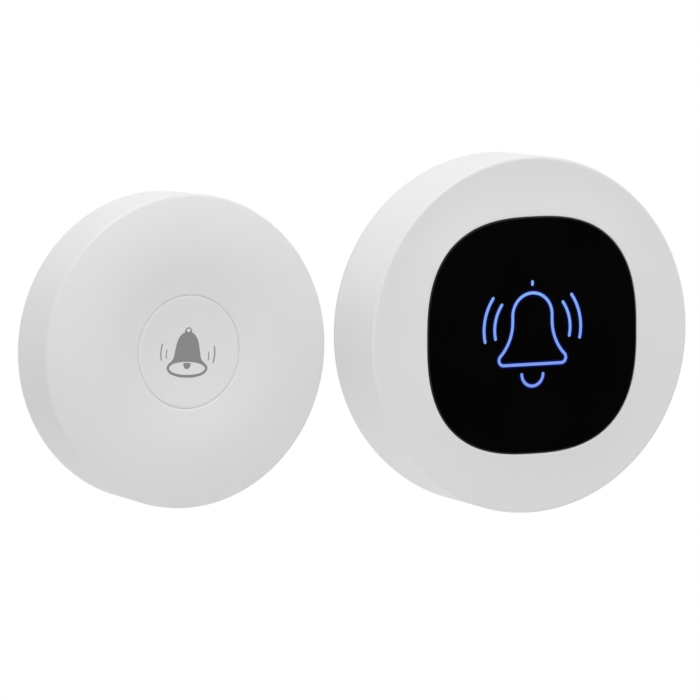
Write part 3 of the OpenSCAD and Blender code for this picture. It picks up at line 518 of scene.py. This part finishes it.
def capStroke(bm, point, along, width):
    # half a disc on a stroke's end: a spoke from the middle is swung half a turn
    left = Vector((-along.y, along.x, 0))
    hub = bm.verts.new(point)
    rim = bm.verts.new(point - left * width / 2)
    spoke = bm.edges.new((hub, rim))
    bmesh.ops.spin(bm, geom=[hub, rim, spoke], cent=point, axis=(0, 0, 1), angle=math.pi,
                   steps=strokeForm["endSteps"])


def roundStroke(bm, start, heading, width, moves):
    a = math.radians(heading)
    end, along = runStroke(bm, start, heading, width, moves, 2)
    capStroke(bm, end, along, width)
    capStroke(bm, Vector((start[0], start[1], 0)), Vector((-math.cos(a), -math.sin(a), 0)), width)


def faceUp(bm):
    for face in bm.faces:
        face.normal_update()
        if face.normal.z < 0:
            face.normal_flip()


# Button unit: the printed bell. A point of its line is x, y and 1 for a corner; an oval is its middle and
# its half axes; a wave is its radius, the height of its middle, half its angle and its stroke.

bellPrint = {"turn": -3.2, "lift": 0.012, "thick": 0.02, "curveSteps": 10, "ovalPoints": 12,
             "longest": 1.2, "cuts": 3,      # an edge longer than this is cut, so that the print can bend
             "loop": [(-0.86, 4.3, 1), (-0.86, 4.78, 0), (0, 5.42, 0), (0.86, 4.78, 0), (0.86, 4.3, 1)],
             "flank": [(1.4, 4.0, 0), (2.05, 3.35, 0), (2.62, 2.2, 0), (3.1, 0.2, 0), (3.5, -1.55, 0),
                       (4.0, -2.2, 0), (4.72, -2.8, 0), (5.1, -3.72, 0), (4.55, -4.7, 0), (2.9, -5.45, 0)],
             "foot": (0, -5.8, 0),
             "clapper": [(-0.86, -2.5, 1), (0.86, -2.5, 1), (0.86, -3.1, 0), (0.55, -3.66, 0), (0, -3.88, 0),
                         (-0.55, -3.66, 0), (-0.86, -3.1, 0)],
             "mouth": (0, -3.72, 4.49, 1.44), "eye": (0, 4.76, 0.5, 0.4),
             "waves": [(6.75, -0.35, 15.0, 0.3), (5.32, -0.77, 9.5, 0.25)], "waveTurn": -2.1}


def drawBell():
    # one filled flat curve: the outline, the mouth cut out of it, the clapper in it and the loop's eye
    form = bellPrint
    curve = bpy.data.curves.new("bell", "CURVE")
    curve.dimensions = "2D"
    curve.fill_mode = "BOTH"
    curve.resolution_u = form["curveSteps"]
    otherFlank = [(-x, y, corner) for x, y, corner in reversed(form["flank"])]
    shapes = [form["loop"] + form["flank"] + [form["foot"]] + otherFlank, form["clapper"]]
    for x, y, rx, ry in (form["mouth"], form["eye"]):
        shapes.append([(x + rx * c, y + ry * s, 0) for c, s in around(1, form["ovalPoints"])])
    for shape in shapes:
        spline = curve.splines.new("BEZIER")
        spline.use_cyclic_u = True
        spline.bezier_points.add(len(shape) - 1)
        for knot, (x, y, corner) in zip(spline.bezier_points, shape):
            knot.co = (x, y, 0)
            knot.handle_left_type = knot.handle_right_type = "VECTOR" if corner else "AUTO"
    holder = bpy.data.objects.new("bell", curve)
    bpy.context.scene.collection.objects.link(holder)
    graph = bpy.context.evaluated_depsgraph_get()
    flat = bpy.data.meshes.new_from_object(holder.evaluated_get(graph))
    bm = bmesh.new()
    bm.from_mesh(flat)
    bpy.data.objects.remove(holder)
    bpy.data.curves.remove(curve)
    bpy.data.meshes.remove(flat)
    return bm


def makeBellPrint():
    form = bellPrint
    bm = drawBell()
    for radius, middle, half, stroke in form["waves"]:
        for side in (0, 180):
            low = side + form["waveTurn"] - half
            a = math.radians(low)
            roundStroke(bm, (radius * math.cos(a), middle + radius * math.sin(a)), low + 90, stroke,
                        [("turn", radius, 2 * half)])
    bmesh.ops.remove_doubles(bm, verts=bm.verts[:], dist=weld["strokes"])
    bmesh.ops.triangulate(bm, faces=bm.faces[:])
    stiff = [e for e in bm.edges if e.calc_length() > form["longest"]]
    bmesh.ops.subdivide_edges(bm, edges=stiff, cuts=form["cuts"])
    bmesh.ops.triangulate(bm, faces=bm.faces[:])
    turn = Matrix.Rotation(math.radians(form["turn"]), 3, "Z")
    bmesh.ops.rotate(bm, verts=bm.verts[:], cent=(0, 0, 0), matrix=turn)
    faceUp(bm)
    skin = bmesh.ops.extrude_face_region(bm, geom=bm.faces[:])["geom"]
    bmesh.ops.translate(bm, verts=vertsIn(skin), vec=(0, 0, form["thick"]))
    for v in bm.verts:       # laid on the bowl of the cap
        bowl = bowlZ - math.sqrt(bowlR ** 2 - v.co.x ** 2 - v.co.y ** 2)
        v.co.z += bowl + form["lift"] - form["thick"]
    bmesh.ops.recalc_face_normals(bm, faces=bm.faces[:])
    return finishPiece(bm, "bellPrint", "button", "push_button", inkFinish)


makeBellPrint()
print("button unit: cover, cap and print")


# Button unit: the foam pad on the back

padForm = {"radius": 18.0, "thick": 1.0, "edge": 0.25, "waist": 0.12, "edgeSteps": 5, "turns": 160}


def makePad():
    form = padForm
    bm = bmesh.new()
    flat = form["radius"] - form["edge"]
    tip = bm.verts.new((0, 0, form["thick"]))
    tip = penLine(bm, tip, flat, form["thick"])
    tip = penArc(bm, tip, flat, form["thick"] - form["edge"], -90, form["edgeSteps"])
    tip = penLine(bm, tip, form["radius"] - form["waist"], form["thick"] / 2)   # the cut edge is pulled in
    tip = penLine(bm, tip, form["radius"], form["edge"])
    tip = penArc(bm, tip, flat, form["edge"], -90, form["edgeSteps"])
    penLine(bm, tip, 0, 0)
    lathe(bm, form["turns"])
    piece = finishPiece(bm, "foamPad", "button", "doorbell_set", foamFinish,
                        ["push_foam_pad"])
    return piece


makePad()


# Button unit: the two coil springs under the cap, drawn at their rest length; in the real button they
# shorten as the cap goes in

springForm = {"radius": 1.95, "wire": 0.25, "turns": 5.5, "foot": 6.0, "top": 12.2, "away": 11.0,
              "press": 1.5, "turnSteps": 40, "wireSides": 12}


def makeSprings():
    form = springForm
    bm = bmesh.new()
    length = form["top"] - form["foot"]
    steps = int(form["turns"] * form["turnSteps"])
    across = Matrix.Rotation(math.pi / 2, 4, "X")
    for side in (form["away"], -form["away"]):
        start = Matrix.Translation((form["radius"], side, form["foot"] + form["wire"])) @ across
        wire = bmesh.ops.create_circle(bm, cap_ends=True, segments=form["wireSides"], radius=form["wire"],
                                       matrix=start)["verts"]
        bmesh.ops.spin(bm, geom=wire[0].link_faces[:], cent=(0, side, 0), axis=(0, 0, 1), steps=steps,
                       angle=2 * math.pi * form["turns"], dvec=(0, 0, (length - 2 * form["wire"]) / steps))
    bmesh.ops.recalc_face_normals(bm, faces=bm.faces[:])
    piece = finishPiece(bm, "pushSprings", "button", "doorbell_set", finishes["steel"],
                        ["push_springs"])
    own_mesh(piece)
    return piece


makeSprings()
print("button unit: foam pad and springs")


# Chime unit: the two side keys, and the bars that make them and their slots

keyForm = {"wide": 7.0, "tall": 3.0, "face": 40.6, "inner": 37.0, "angle": 12.0, "height": 12.3,
           "edge": 0.45, "edgeSteps": 5, "barSides": 48, "overlap": 0.2,
           "flange": {"deep": 1.0, "wider": 2.0, "lower": 0.6},
           "stem": {"wide": 3.0, "tall": 1.8, "end": 34.4, "overlap": 0.5},
           "slot": {"gap": 0.3, "inside": 4.0, "outside": 3.0}}


def bar(wide, tall, near, far, angle, edge=0):
    # a bar with half-round ends, standing out of the side of the unit at an angle round it
    bm = bmesh.new()
    ring = bmesh.ops.create_circle(bm, cap_ends=True, segments=keyForm["barSides"], radius=tall / 2)["verts"]
    for v in ring:           # the two halves of the ring are pulled apart, its middle points stay
        if abs(v.co.x) > nearZero:
            v.co.x += math.copysign((wide - tall) / 2, v.co.x)
    top = bmesh.ops.extrude_face_region(bm, geom=bm.faces[:])["geom"]
    bmesh.ops.translate(bm, verts=vertsIn(top), vec=(0, 0, far - near))
    if edge:
        bmesh.ops.bevel(bm, geom=edgesIn(top), offset=edge, affect="EDGES", segments=keyForm["edgeSteps"],
                        profile=0.5, material=-1)
    lieDown = Matrix(((0, 0, 1, 0), (1, 0, 0, 0), (0, 1, 0, 0), (0, 0, 0, 1)))
    swing = Matrix.Rotation(math.radians(angle), 4, "Z")
    bm.transform(swing @ Matrix.Translation((near, 0, keyForm["height"])) @ lieDown)
    return bm


def makeKey(name, body, node, angle):
    form = keyForm
    flange, stem = form["flange"], form["stem"]
    inner = form["inner"]
    bm = bar(form["wide"], form["tall"], inner - form["overlap"], form["face"], angle, form["edge"])
    wide = form["wide"] + flange["wider"]
    tall = form["tall"] - flange["lower"]
    combine(bm, bar(wide, tall, inner - flange["deep"], inner, angle), "UNION")
    combine(bm, bar(stem["wide"], stem["tall"], stem["end"], inner - stem["overlap"], angle), "UNION")
    bmesh.ops.recalc_face_normals(bm, faces=bm.faces[:])
    return finishPiece(bm, name, "chime", body, finishes["white_abs"], [node])


# Chime unit: the shell, a round side that flares up to a squarish opening

chimeForm = {"radius": 40.0, "draft": 0.6, "foot": 1.8, "footRound": 0.3, "sideTop": 20.0, "rimRound": 0.7,
             "rimTop": 20.7, "flareFoot": 38.9, "faceTop": 21.7, "panelHalf": 26.5, "panelPower": 2.65,
             "panelGap": 0.12, "lip": 0.2, "ledge": 19.5, "window": 23.5, "ledgeFoot": 17.9, "ledgeR": 27.7,
             "ceiling": 18.9, "inner": 37.6, "turns": 256,
             "steps": {"foot": 4, "rim": 6, "flare": 14, "lip": 4},
             "post": {"away": 33.1, "count": 4, "start": 45, "radius": 2.9, "foot": 1.8, "top": 19.3}}


def squareness(angle, power):
    # distance from the middle to a rounded square of half width 1
    return (abs(math.cos(angle)) ** power + abs(math.sin(angle)) ** power) ** (-1 / power)


def placeRing(verts, roundR, squareR, share, z):
    # share 0 is round, 1 is the rounded square
    for v in verts:
        a = math.atan2(v.co.y, v.co.x)
        reach = (1 - share) * roundR + share * squareR * squareness(a, chimeForm["panelPower"])
        v.co = (reach * math.cos(a), reach * math.sin(a), z)


def startRing(bm, roundR, squareR, share, z):
    made = bmesh.ops.create_circle(bm, cap_ends=False, segments=chimeForm["turns"], radius=1.0)["verts"]
    placeRing(made, roundR, squareR, share, z)
    return bm.edges[:]


def layRing(bm, ring, roundR, squareR, share, z):
    swept = bmesh.ops.extrude_edge_only(bm, edges=ring)["geom"]
    placeRing(vertsIn(swept), roundR, squareR, share, z)
    return edgesIn(swept)


def makeShell():
    form = chimeForm
    steps = form["steps"]
    bm = bmesh.new()
    opening = form["panelHalf"] + form["panelGap"]
    foot = form["radius"] - form["draft"] - form["footRound"]
    rise = form["faceTop"] - form["rimTop"]
    ring = startRing(bm, form["inner"], 0, 0, form["foot"])
    stations = []            # round radius, square half width, share of the square, height
    for a in quarter(steps["foot"]):
        stations.append((foot + form["footRound"] * math.sin(a), 0, 0,
                         form["foot"] + form["footRound"] * (1 - math.cos(a))))
    for a in quarter(steps["rim"]):
        stations.append((form["radius"] - form["rimRound"] * (1 - math.cos(a)), 0, 0,
                         form["sideTop"] + form["rimRound"] * math.sin(a)))
    for i in range(steps["flare"] + 1):
        t = i / steps["flare"]
        stations.append((form["flareFoot"], opening + form["lip"], t, form["rimTop"] + rise * t * t))
    for a in quarter(steps["lip"])[1:]:
        stations.append((0, opening + form["lip"] * (1 - math.sin(a)), 1,
                         form["faceTop"] - form["lip"] * (1 - math.cos(a))))
    stations += [(0, opening, 1, form["ledge"]), (0, form["window"], 1, form["ledge"]),
                 (0, form["window"], 1, form["ledgeFoot"]), (0, form["ledgeR"], 1, form["ledgeFoot"]),
                 (0, form["ledgeR"], 1, form["ceiling"]), (form["inner"], 0, 0, form["ceiling"]),
                 (form["inner"], 0, 0, form["foot"])]
    for roundR, squareR, share, z in stations:
        ring = layRing(bm, ring, roundR, squareR, share, z)
    closeUp(bm)
    addPosts(bm, form["post"])
    slot = keyForm["slot"]
    wide = keyForm["wide"] + slot["gap"]
    tall = keyForm["tall"] + slot["gap"]
    near = keyForm["inner"] - slot["inside"]
    far = keyForm["face"] + slot["outside"]
    for angle in (keyForm["angle"], -keyForm["angle"]):
        combine(bm, bar(wide, tall, near, far, angle), "DIFFERENCE")
    return finishPiece(bm, "chimeShell", "chime", "doorbell_set", finishes["white_abs"],
                       ["chime_shell"])


makeShell()
makeKey("volumeKey", "volume_button", "volume_key", keyForm["angle"])
makeKey("melodyKey", "melody_button", "melody_key", -keyForm["angle"])


# Chime unit: the dark panel

panelForm = {"foot": 19.7, "top": 21.7, "edge": 0.1, "edgeSteps": 5, "border": 0.5}


def makePanel():
    form = panelForm
    bm = bmesh.new()
    half = chimeForm["panelHalf"]
    ring = startRing(bm, 0, half, 1, form["foot"])
    for a in reversed(quarter(form["edgeSteps"])):
        ring = layRing(bm, ring, 0, half - form["edge"] * (1 - math.sin(a)), 1,
                       form["top"] - form["edge"] * (1 - math.cos(a)))
    bmesh.ops.holes_fill(bm, edges=bm.edges[:], sides=0)
    closeUp(bm)
    firmEnds(bm, form["border"])
    return finishPiece(bm, "panelLens", "chime", "doorbell_set", finishes["black_acrylic"],
                       ["panel_lens"])


makePanel()


# Chime unit: the lit symbol, an outlined bell that rings. A wave is its radius and the angles of its ends.

symbolForm = {"stroke": 0.66, "lift": 0.03, "sunk": 0.02,
              "halo": 2.0, "haloRows": 8, "haloLift": 0.012, "haloSunk": 0.01,
              "lipHalf": 7.3, "lipY": -6.5, "lipRound": 1.2, "lean": 45, "flare": 10.75, "straight": 1.35,
              "dome": 5.0, "clapperR": 2.7, "clapperY": -8.7, "knobY": 11.7, "knobLong": 0.6,
              "waves": [(9.6, -12, 36), (12.3, -12, 36)], "waveY": 1.5}


def symbolStrokes():
    # each stroke is its start, its heading, its moves and whether it comes back to its start
    form = symbolForm
    half = [("ahead", form["lipHalf"], 0), ("turn", form["lipRound"], 90 + form["lean"]),
            ("turn", form["flare"], -form["lean"]), ("ahead", form["straight"], 0),
            ("turn", form["dome"], 90)]
    strokes = [((0, form["lipY"]), 0, half + half[::-1], True)]
    strokes.append(((-form["clapperR"], form["clapperY"]), -90, [("turn", form["clapperR"], 180)], False))
    strokes.append(((0, form["knobY"] - form["knobLong"] / 2), 90, [("ahead", form["knobLong"], 0)], False))
    for radius, low, high in form["waves"]:
        for mirror in (1, -1):
            start = low if mirror == 1 else 180 - low
            a = math.radians(start)
            place = (radius * math.cos(a), form["waveY"] + radius * math.sin(a))
            strokes.append((place, start + 90 * mirror, [("turn", radius, (high - low) * mirror)], False))
    return strokes


def setInPanel(bm, lift, sunk):
    # flat marks get a thin body that stands a little above the panel's face and reaches a little into it
    bmesh.ops.remove_doubles(bm, verts=bm.verts[:], dist=weld["strokes"])
    faceUp(bm)
    bmesh.ops.translate(bm, verts=bm.verts[:], vec=(0, 0, panelForm["top"] + lift))
    foot = bmesh.ops.extrude_face_region(bm, geom=bm.faces[:], use_keep_orig=True)["geom"]
    bmesh.ops.translate(bm, verts=vertsIn(foot), vec=(0, 0, -lift - sunk))
    bmesh.ops.recalc_face_normals(bm, faces=bm.faces[:])


def makeSymbol():
    form = symbolForm
    bm = bmesh.new()
    for start, heading, moves, closed in symbolStrokes():
        draw = runStroke if closed else roundStroke
        draw(bm, start, heading, form["stroke"], moves)
    setInPanel(bm, form["lift"], form["sunk"])
    return finishPiece(bm, "litSymbol", "chime", "doorbell_set", litFinish)


def makeHalo():
    form = symbolForm
    bm = bmesh.new()
    rows = form["haloRows"]
    glow = bm.verts.layers.float.new("glow")
    for start, heading, moves, _ in symbolStrokes():
        before = set(bm.verts)
        runStroke(bm, start, heading, form["halo"], moves, rows)
        fresh = [v for v in bm.verts if v not in before]
        for i, v in enumerate(fresh):
            v[glow] = 1 - abs(2 * (i % (rows + 1)) / rows - 1)   # 1 along the middle, 0 at both sides
    setInPanel(bm, form["haloLift"], form["haloSunk"])
    return finishPiece(bm, "symbolHalo", "chime", "doorbell_set", haloFinish)


makeSymbol()
makeHalo()
print("chime unit: shell, keys, panel and symbol")


# Chime unit: the plug

plugForm = {"round": 17.0, "half": 7.0, "corner": 64, "top": 1.6, "end": -16.5, "edge": 2.0, "edgeSteps": 10,
            "border": 0.5, "turns": 400, "leastSlope": 0.01}


def placePlugRing(verts, inset, z):
    # a round outline with two flat sides, its corners a little softened
    power = plugForm["corner"]
    for v in verts:
        a = math.atan2(v.co.y, v.co.x)
        flat = (plugForm["half"] - inset) / max(abs(math.sin(a)), plugForm["leastSlope"])
        reach = (flat ** -power + (plugForm["round"] - inset) ** -power) ** (-1 / power)
        v.co = (reach * math.cos(a), reach * math.sin(a), z)


def makePlugBody():
    form = plugForm
    bm = bmesh.new()
    made = bmesh.ops.create_circle(bm, cap_ends=False, segments=form["turns"], radius=1.0)["verts"]
    placePlugRing(made, 0, form["top"])
    ring = bm.edges[:]
    for a in quarter(form["edgeSteps"]):
        swept = bmesh.ops.extrude_edge_only(bm, edges=ring)["geom"]
        placePlugRing(vertsIn(swept), form["edge"] * (1 - math.cos(a)),
                      form["end"] + form["edge"] * (1 - math.sin(a)))
        ring = edgesIn(swept)
    bmesh.ops.holes_fill(bm, edges=bm.edges[:], sides=0)
    closeUp(bm)
    firmEnds(bm, form["border"])
    return finishPiece(bm, "plugBody", "chime", "doorbell_set", finishes["white_abs"],
                       ["plug_body"])


makePlugBody()


# Chime unit: the rubber surround of the speaker, split at the crest of its roll so that the inner half goes
# with the cone and slips past the outer half

surroundForm = {"speakerY": -22.7, "top": 2.9, "thick": 0.25, "middle": 10.0, "half": 1.1, "roll": 0.5,
                "skin": 0.22, "slip": 0.01, "turns": 120, "rollSteps": 8, "boreSteps": 6}


def makeSurround(name, side, body, stands):
    form = surroundForm
    bm = bmesh.new()
    foot = form["top"] - form["thick"]
    middle = form["middle"] + side * form["slip"]
    bore = form["roll"] - form["skin"]
    tip = first = bm.verts.new((middle + side * form["half"], 0, form["top"]))
    tip = penLine(bm, tip, middle + side * form["half"], foot)
    tip = penLine(bm, tip, middle + side * form["roll"], foot)
    tip = penArc(bm, tip, middle, foot, -90 * side, form["rollSteps"])
    tip = penLine(bm, tip, middle, foot - bore)
    tip = penArc(bm, tip, middle, foot, 90 * side, form["boreSteps"])
    tip = penLine(bm, tip, middle + side * bore, form["top"])
    bm.edges.new((tip, first))
    lathe(bm, form["turns"])
    bmesh.ops.translate(bm, verts=bm.verts[:], vec=(0, form["speakerY"], 0))
    return finishPiece(bm, name, "chime", body, finishes["black_rubber"], stands)


makeSurround("surroundOuter", 1, "doorbell_set", ["speaker_surround"])
makeSurround("surroundInner", -1, "speaker_cone_body", [])
print("chime unit: plug and speaker surround")


# The solids that stay as they are take the finish of their own slot

for part in frame["record"]["subparts"]:
    node = frame["nodes"][part["node"]]
    if not node.hide_render:
        node.data.materials.clear()
        node.data.materials.append(finishes[part["material_slot"]])
print("carried over:", sum(not n.hide_render for n in frame["nodes"].values()))


# Stage, light and camera

photoView = {"turn": 28.2, "height": 6.06,                   # where the camera stands, degrees
             "scale": 4.4602, "right": -30.46, "up": -5.32,  # pixels to the mm, and the aim in mm
             "lens": 1000.0, "pixels": 700}                  # lens in mm, and the width of the picture
viewTurn = math.radians(photoView["turn"])
viewHeight = math.radians(photoView["height"])


def makeCamera():
    view = photoView
    a, e = viewTurn, viewHeight
    right = Vector((math.cos(a), -math.sin(a), 0))
    up = Vector((math.sin(a) * math.sin(e), math.cos(a) * math.sin(e), math.cos(e)))
    away = Vector((math.sin(a) * math.cos(e), math.cos(a) * math.cos(e), -math.sin(e)))
    data = bpy.data.cameras.new("photoCamera")
    data.lens = view["lens"]
    distance = view["lens"] / data.sensor_width * view["pixels"] / view["scale"] * mm
    data.clip_end = 3 * distance
    camera = bpy.data.objects.new("photoCamera", data)
    aim = (right * view["right"] + up * view["up"]) * mm
    camera.location = aim - away * distance
    camera.rotation_euler = away.to_track_quat("-Z", "Y").to_euler()
    bpy.context.scene.collection.objects.link(camera)
    bpy.context.scene.camera = camera


# Places and sizes in metres, powers in watts. A lamp with "only" lights that piece alone, and no other piece
# shades it.
studio = {"world": 0.61, "drift": 1 / 3,
          "floor": {"place": (-0.03, 0, -0.22), "radius": 0.9, "tones": ("#F0F0F0", "#F4F4F4"), "rough": 0.9,
                    "glow": 0.12},
          "flag": {"away": 0.3, "radius": 0.06, "tones": ("#000000", "#020202"), "rough": 1.0, "glow": 0.0},
          "lamps": {"topLamp": {"place": (-0.15, -0.3, 1.2), "size": 1.2, "power": 8.0},
                    "leftLamp": {"place": (-1.0, -0.8, -0.05), "size": 1.0, "power": 0.5},
                    "frontLamp": {"place": (0.2, -1.3, 0.3), "size": 1.2, "power": 0.7},
                    "sideLamp": {"place": (-1.0, 0.15, -0.35), "size": 0.5, "power": 0.95,
                                 "only": "chimeShell"}},
          "discSides": 96}


def makeLamp(name, form):
    data = bpy.data.lights.new(name, "AREA")
    data.shape = "DISK"
    data.size = form["size"]
    data.energy = form["power"]
    lamp = bpy.data.objects.new(name, data)
    lamp.location = form["place"]
    lamp.rotation_euler = (-Vector(form["place"])).to_track_quat("-Z", "Y").to_euler()
    lamp.visible_camera = False
    bpy.context.scene.collection.objects.link(lamp)
    if "only" in form:
        alone = bpy.data.collections.new(name + "Only")
        alone.objects.link(bpy.data.objects[form["only"]])
        lamp.light_linking.receiver_collection = alone
        lamp.light_linking.blocker_collection = alone


def makeWorld():
    # white to the eye, in mirrors and through glass; softer as the light that falls on the object
    world = bpy.data.worlds.new("paleStudio")
    bpy.context.scene.world = world
    world.use_nodes = True
    tree = world.node_tree
    tree.nodes.clear()
    path = addNode(tree, "LightPath", {}, {})
    shiny = addNode(tree, "Math", {"operation": "MAXIMUM"},
                    {0: (path, "Is Camera Ray"), 1: (path, "Is Glossy Ray")})
    seen = addNode(tree, "Math", {"operation": "MAXIMUM"},
                   {0: (shiny, "Value"), 1: (path, "Is Transmission Ray")})
    level = addNode(tree, "MapRange", {"To Min": studio["world"], "To Max": 1.0}, {"Value": (seen, "Value")})
    glow = addNode(tree, "Background", {"Color": (1, 1, 1, 1)}, {"Strength": (level, "Result")})
    addNode(tree, "OutputWorld", {}, {"Surface": (glow, "Background")})


def makeDisc(name, place, form):
    bm = bmesh.new()
    bmesh.ops.create_circle(bm, cap_ends=True, segments=studio["discSides"], radius=form["radius"],
                            matrix=place)
    mesh = bpy.data.meshes.new(name)
    bm.to_mesh(mesh)
    bm.free()
    material, tree = newFinish(name + "Board")
    coordinates = addNode(tree, "TexCoord", {}, {})
    drift = addNode(tree, "TexNoise", {"Scale": 1 / studio["drift"]}, {"Vector": (coordinates, "Object")})
    dark, light = form["tones"]
    tones = {"data_type": "RGBA", mixFrom: linear(dark), mixTo: linear(light)}
    tone = addNode(tree, "Mix", tones, {mixShare: (drift, "Fac")})
    path = addNode(tree, "LightPath", {}, {})
    lift = addNode(tree, "MapRange", {"To Min": 0.0, "To Max": form["glow"]},
                   {"Value": (path, "Is Camera Ray")})
    body = {"Roughness": form["rough"], "Specular IOR Level": 0.0, "Emission Color": (1, 1, 1, 1)}
    shader = addNode(tree, "BsdfPrincipled", body,
                     {"Base Color": (tone, mixOut), "Emission Strength": (lift, "Result")})
    addNode(tree, "OutputMaterial", {}, {"Surface": (shader, "BSDF")})
    mesh.materials.append(material)
    disc = bpy.data.objects.new(name, mesh)
    bpy.context.scene.collection.objects.link(disc)
    return disc


def makeFlag():
    # a black card where the panel mirrors the room, so that the panel looks as black as it is
    form = studio["flag"]
    a, e = viewTurn, viewHeight
    toward = Vector((math.sin(a) * math.cos(e), -math.cos(a) * math.cos(e), -math.sin(e)))
    middle = Vector((0, -panelForm["top"] * mm, 0)) + toward * form["away"]
    place = Matrix.Translation(middle) @ toward.to_track_quat("Z", "Y").to_matrix().to_4x4()
    flag = makeDisc("blackFlag", place, form)
    for ray in ("camera", "diffuse", "transmission", "shadow", "volume_scatter"):    # only mirrors see it
        setattr(flag, "visible_" + ray, False)


makeCamera()
for lampName, lampForm in studio["lamps"].items():
    makeLamp(lampName, lampForm)
makeWorld()
makeDisc("floor", Matrix.Translation(studio["floor"]["place"]), studio["floor"])
makeFlag()
bpy.context.scene.view_settings.view_transform = "Standard"
print("stage, light and camera")
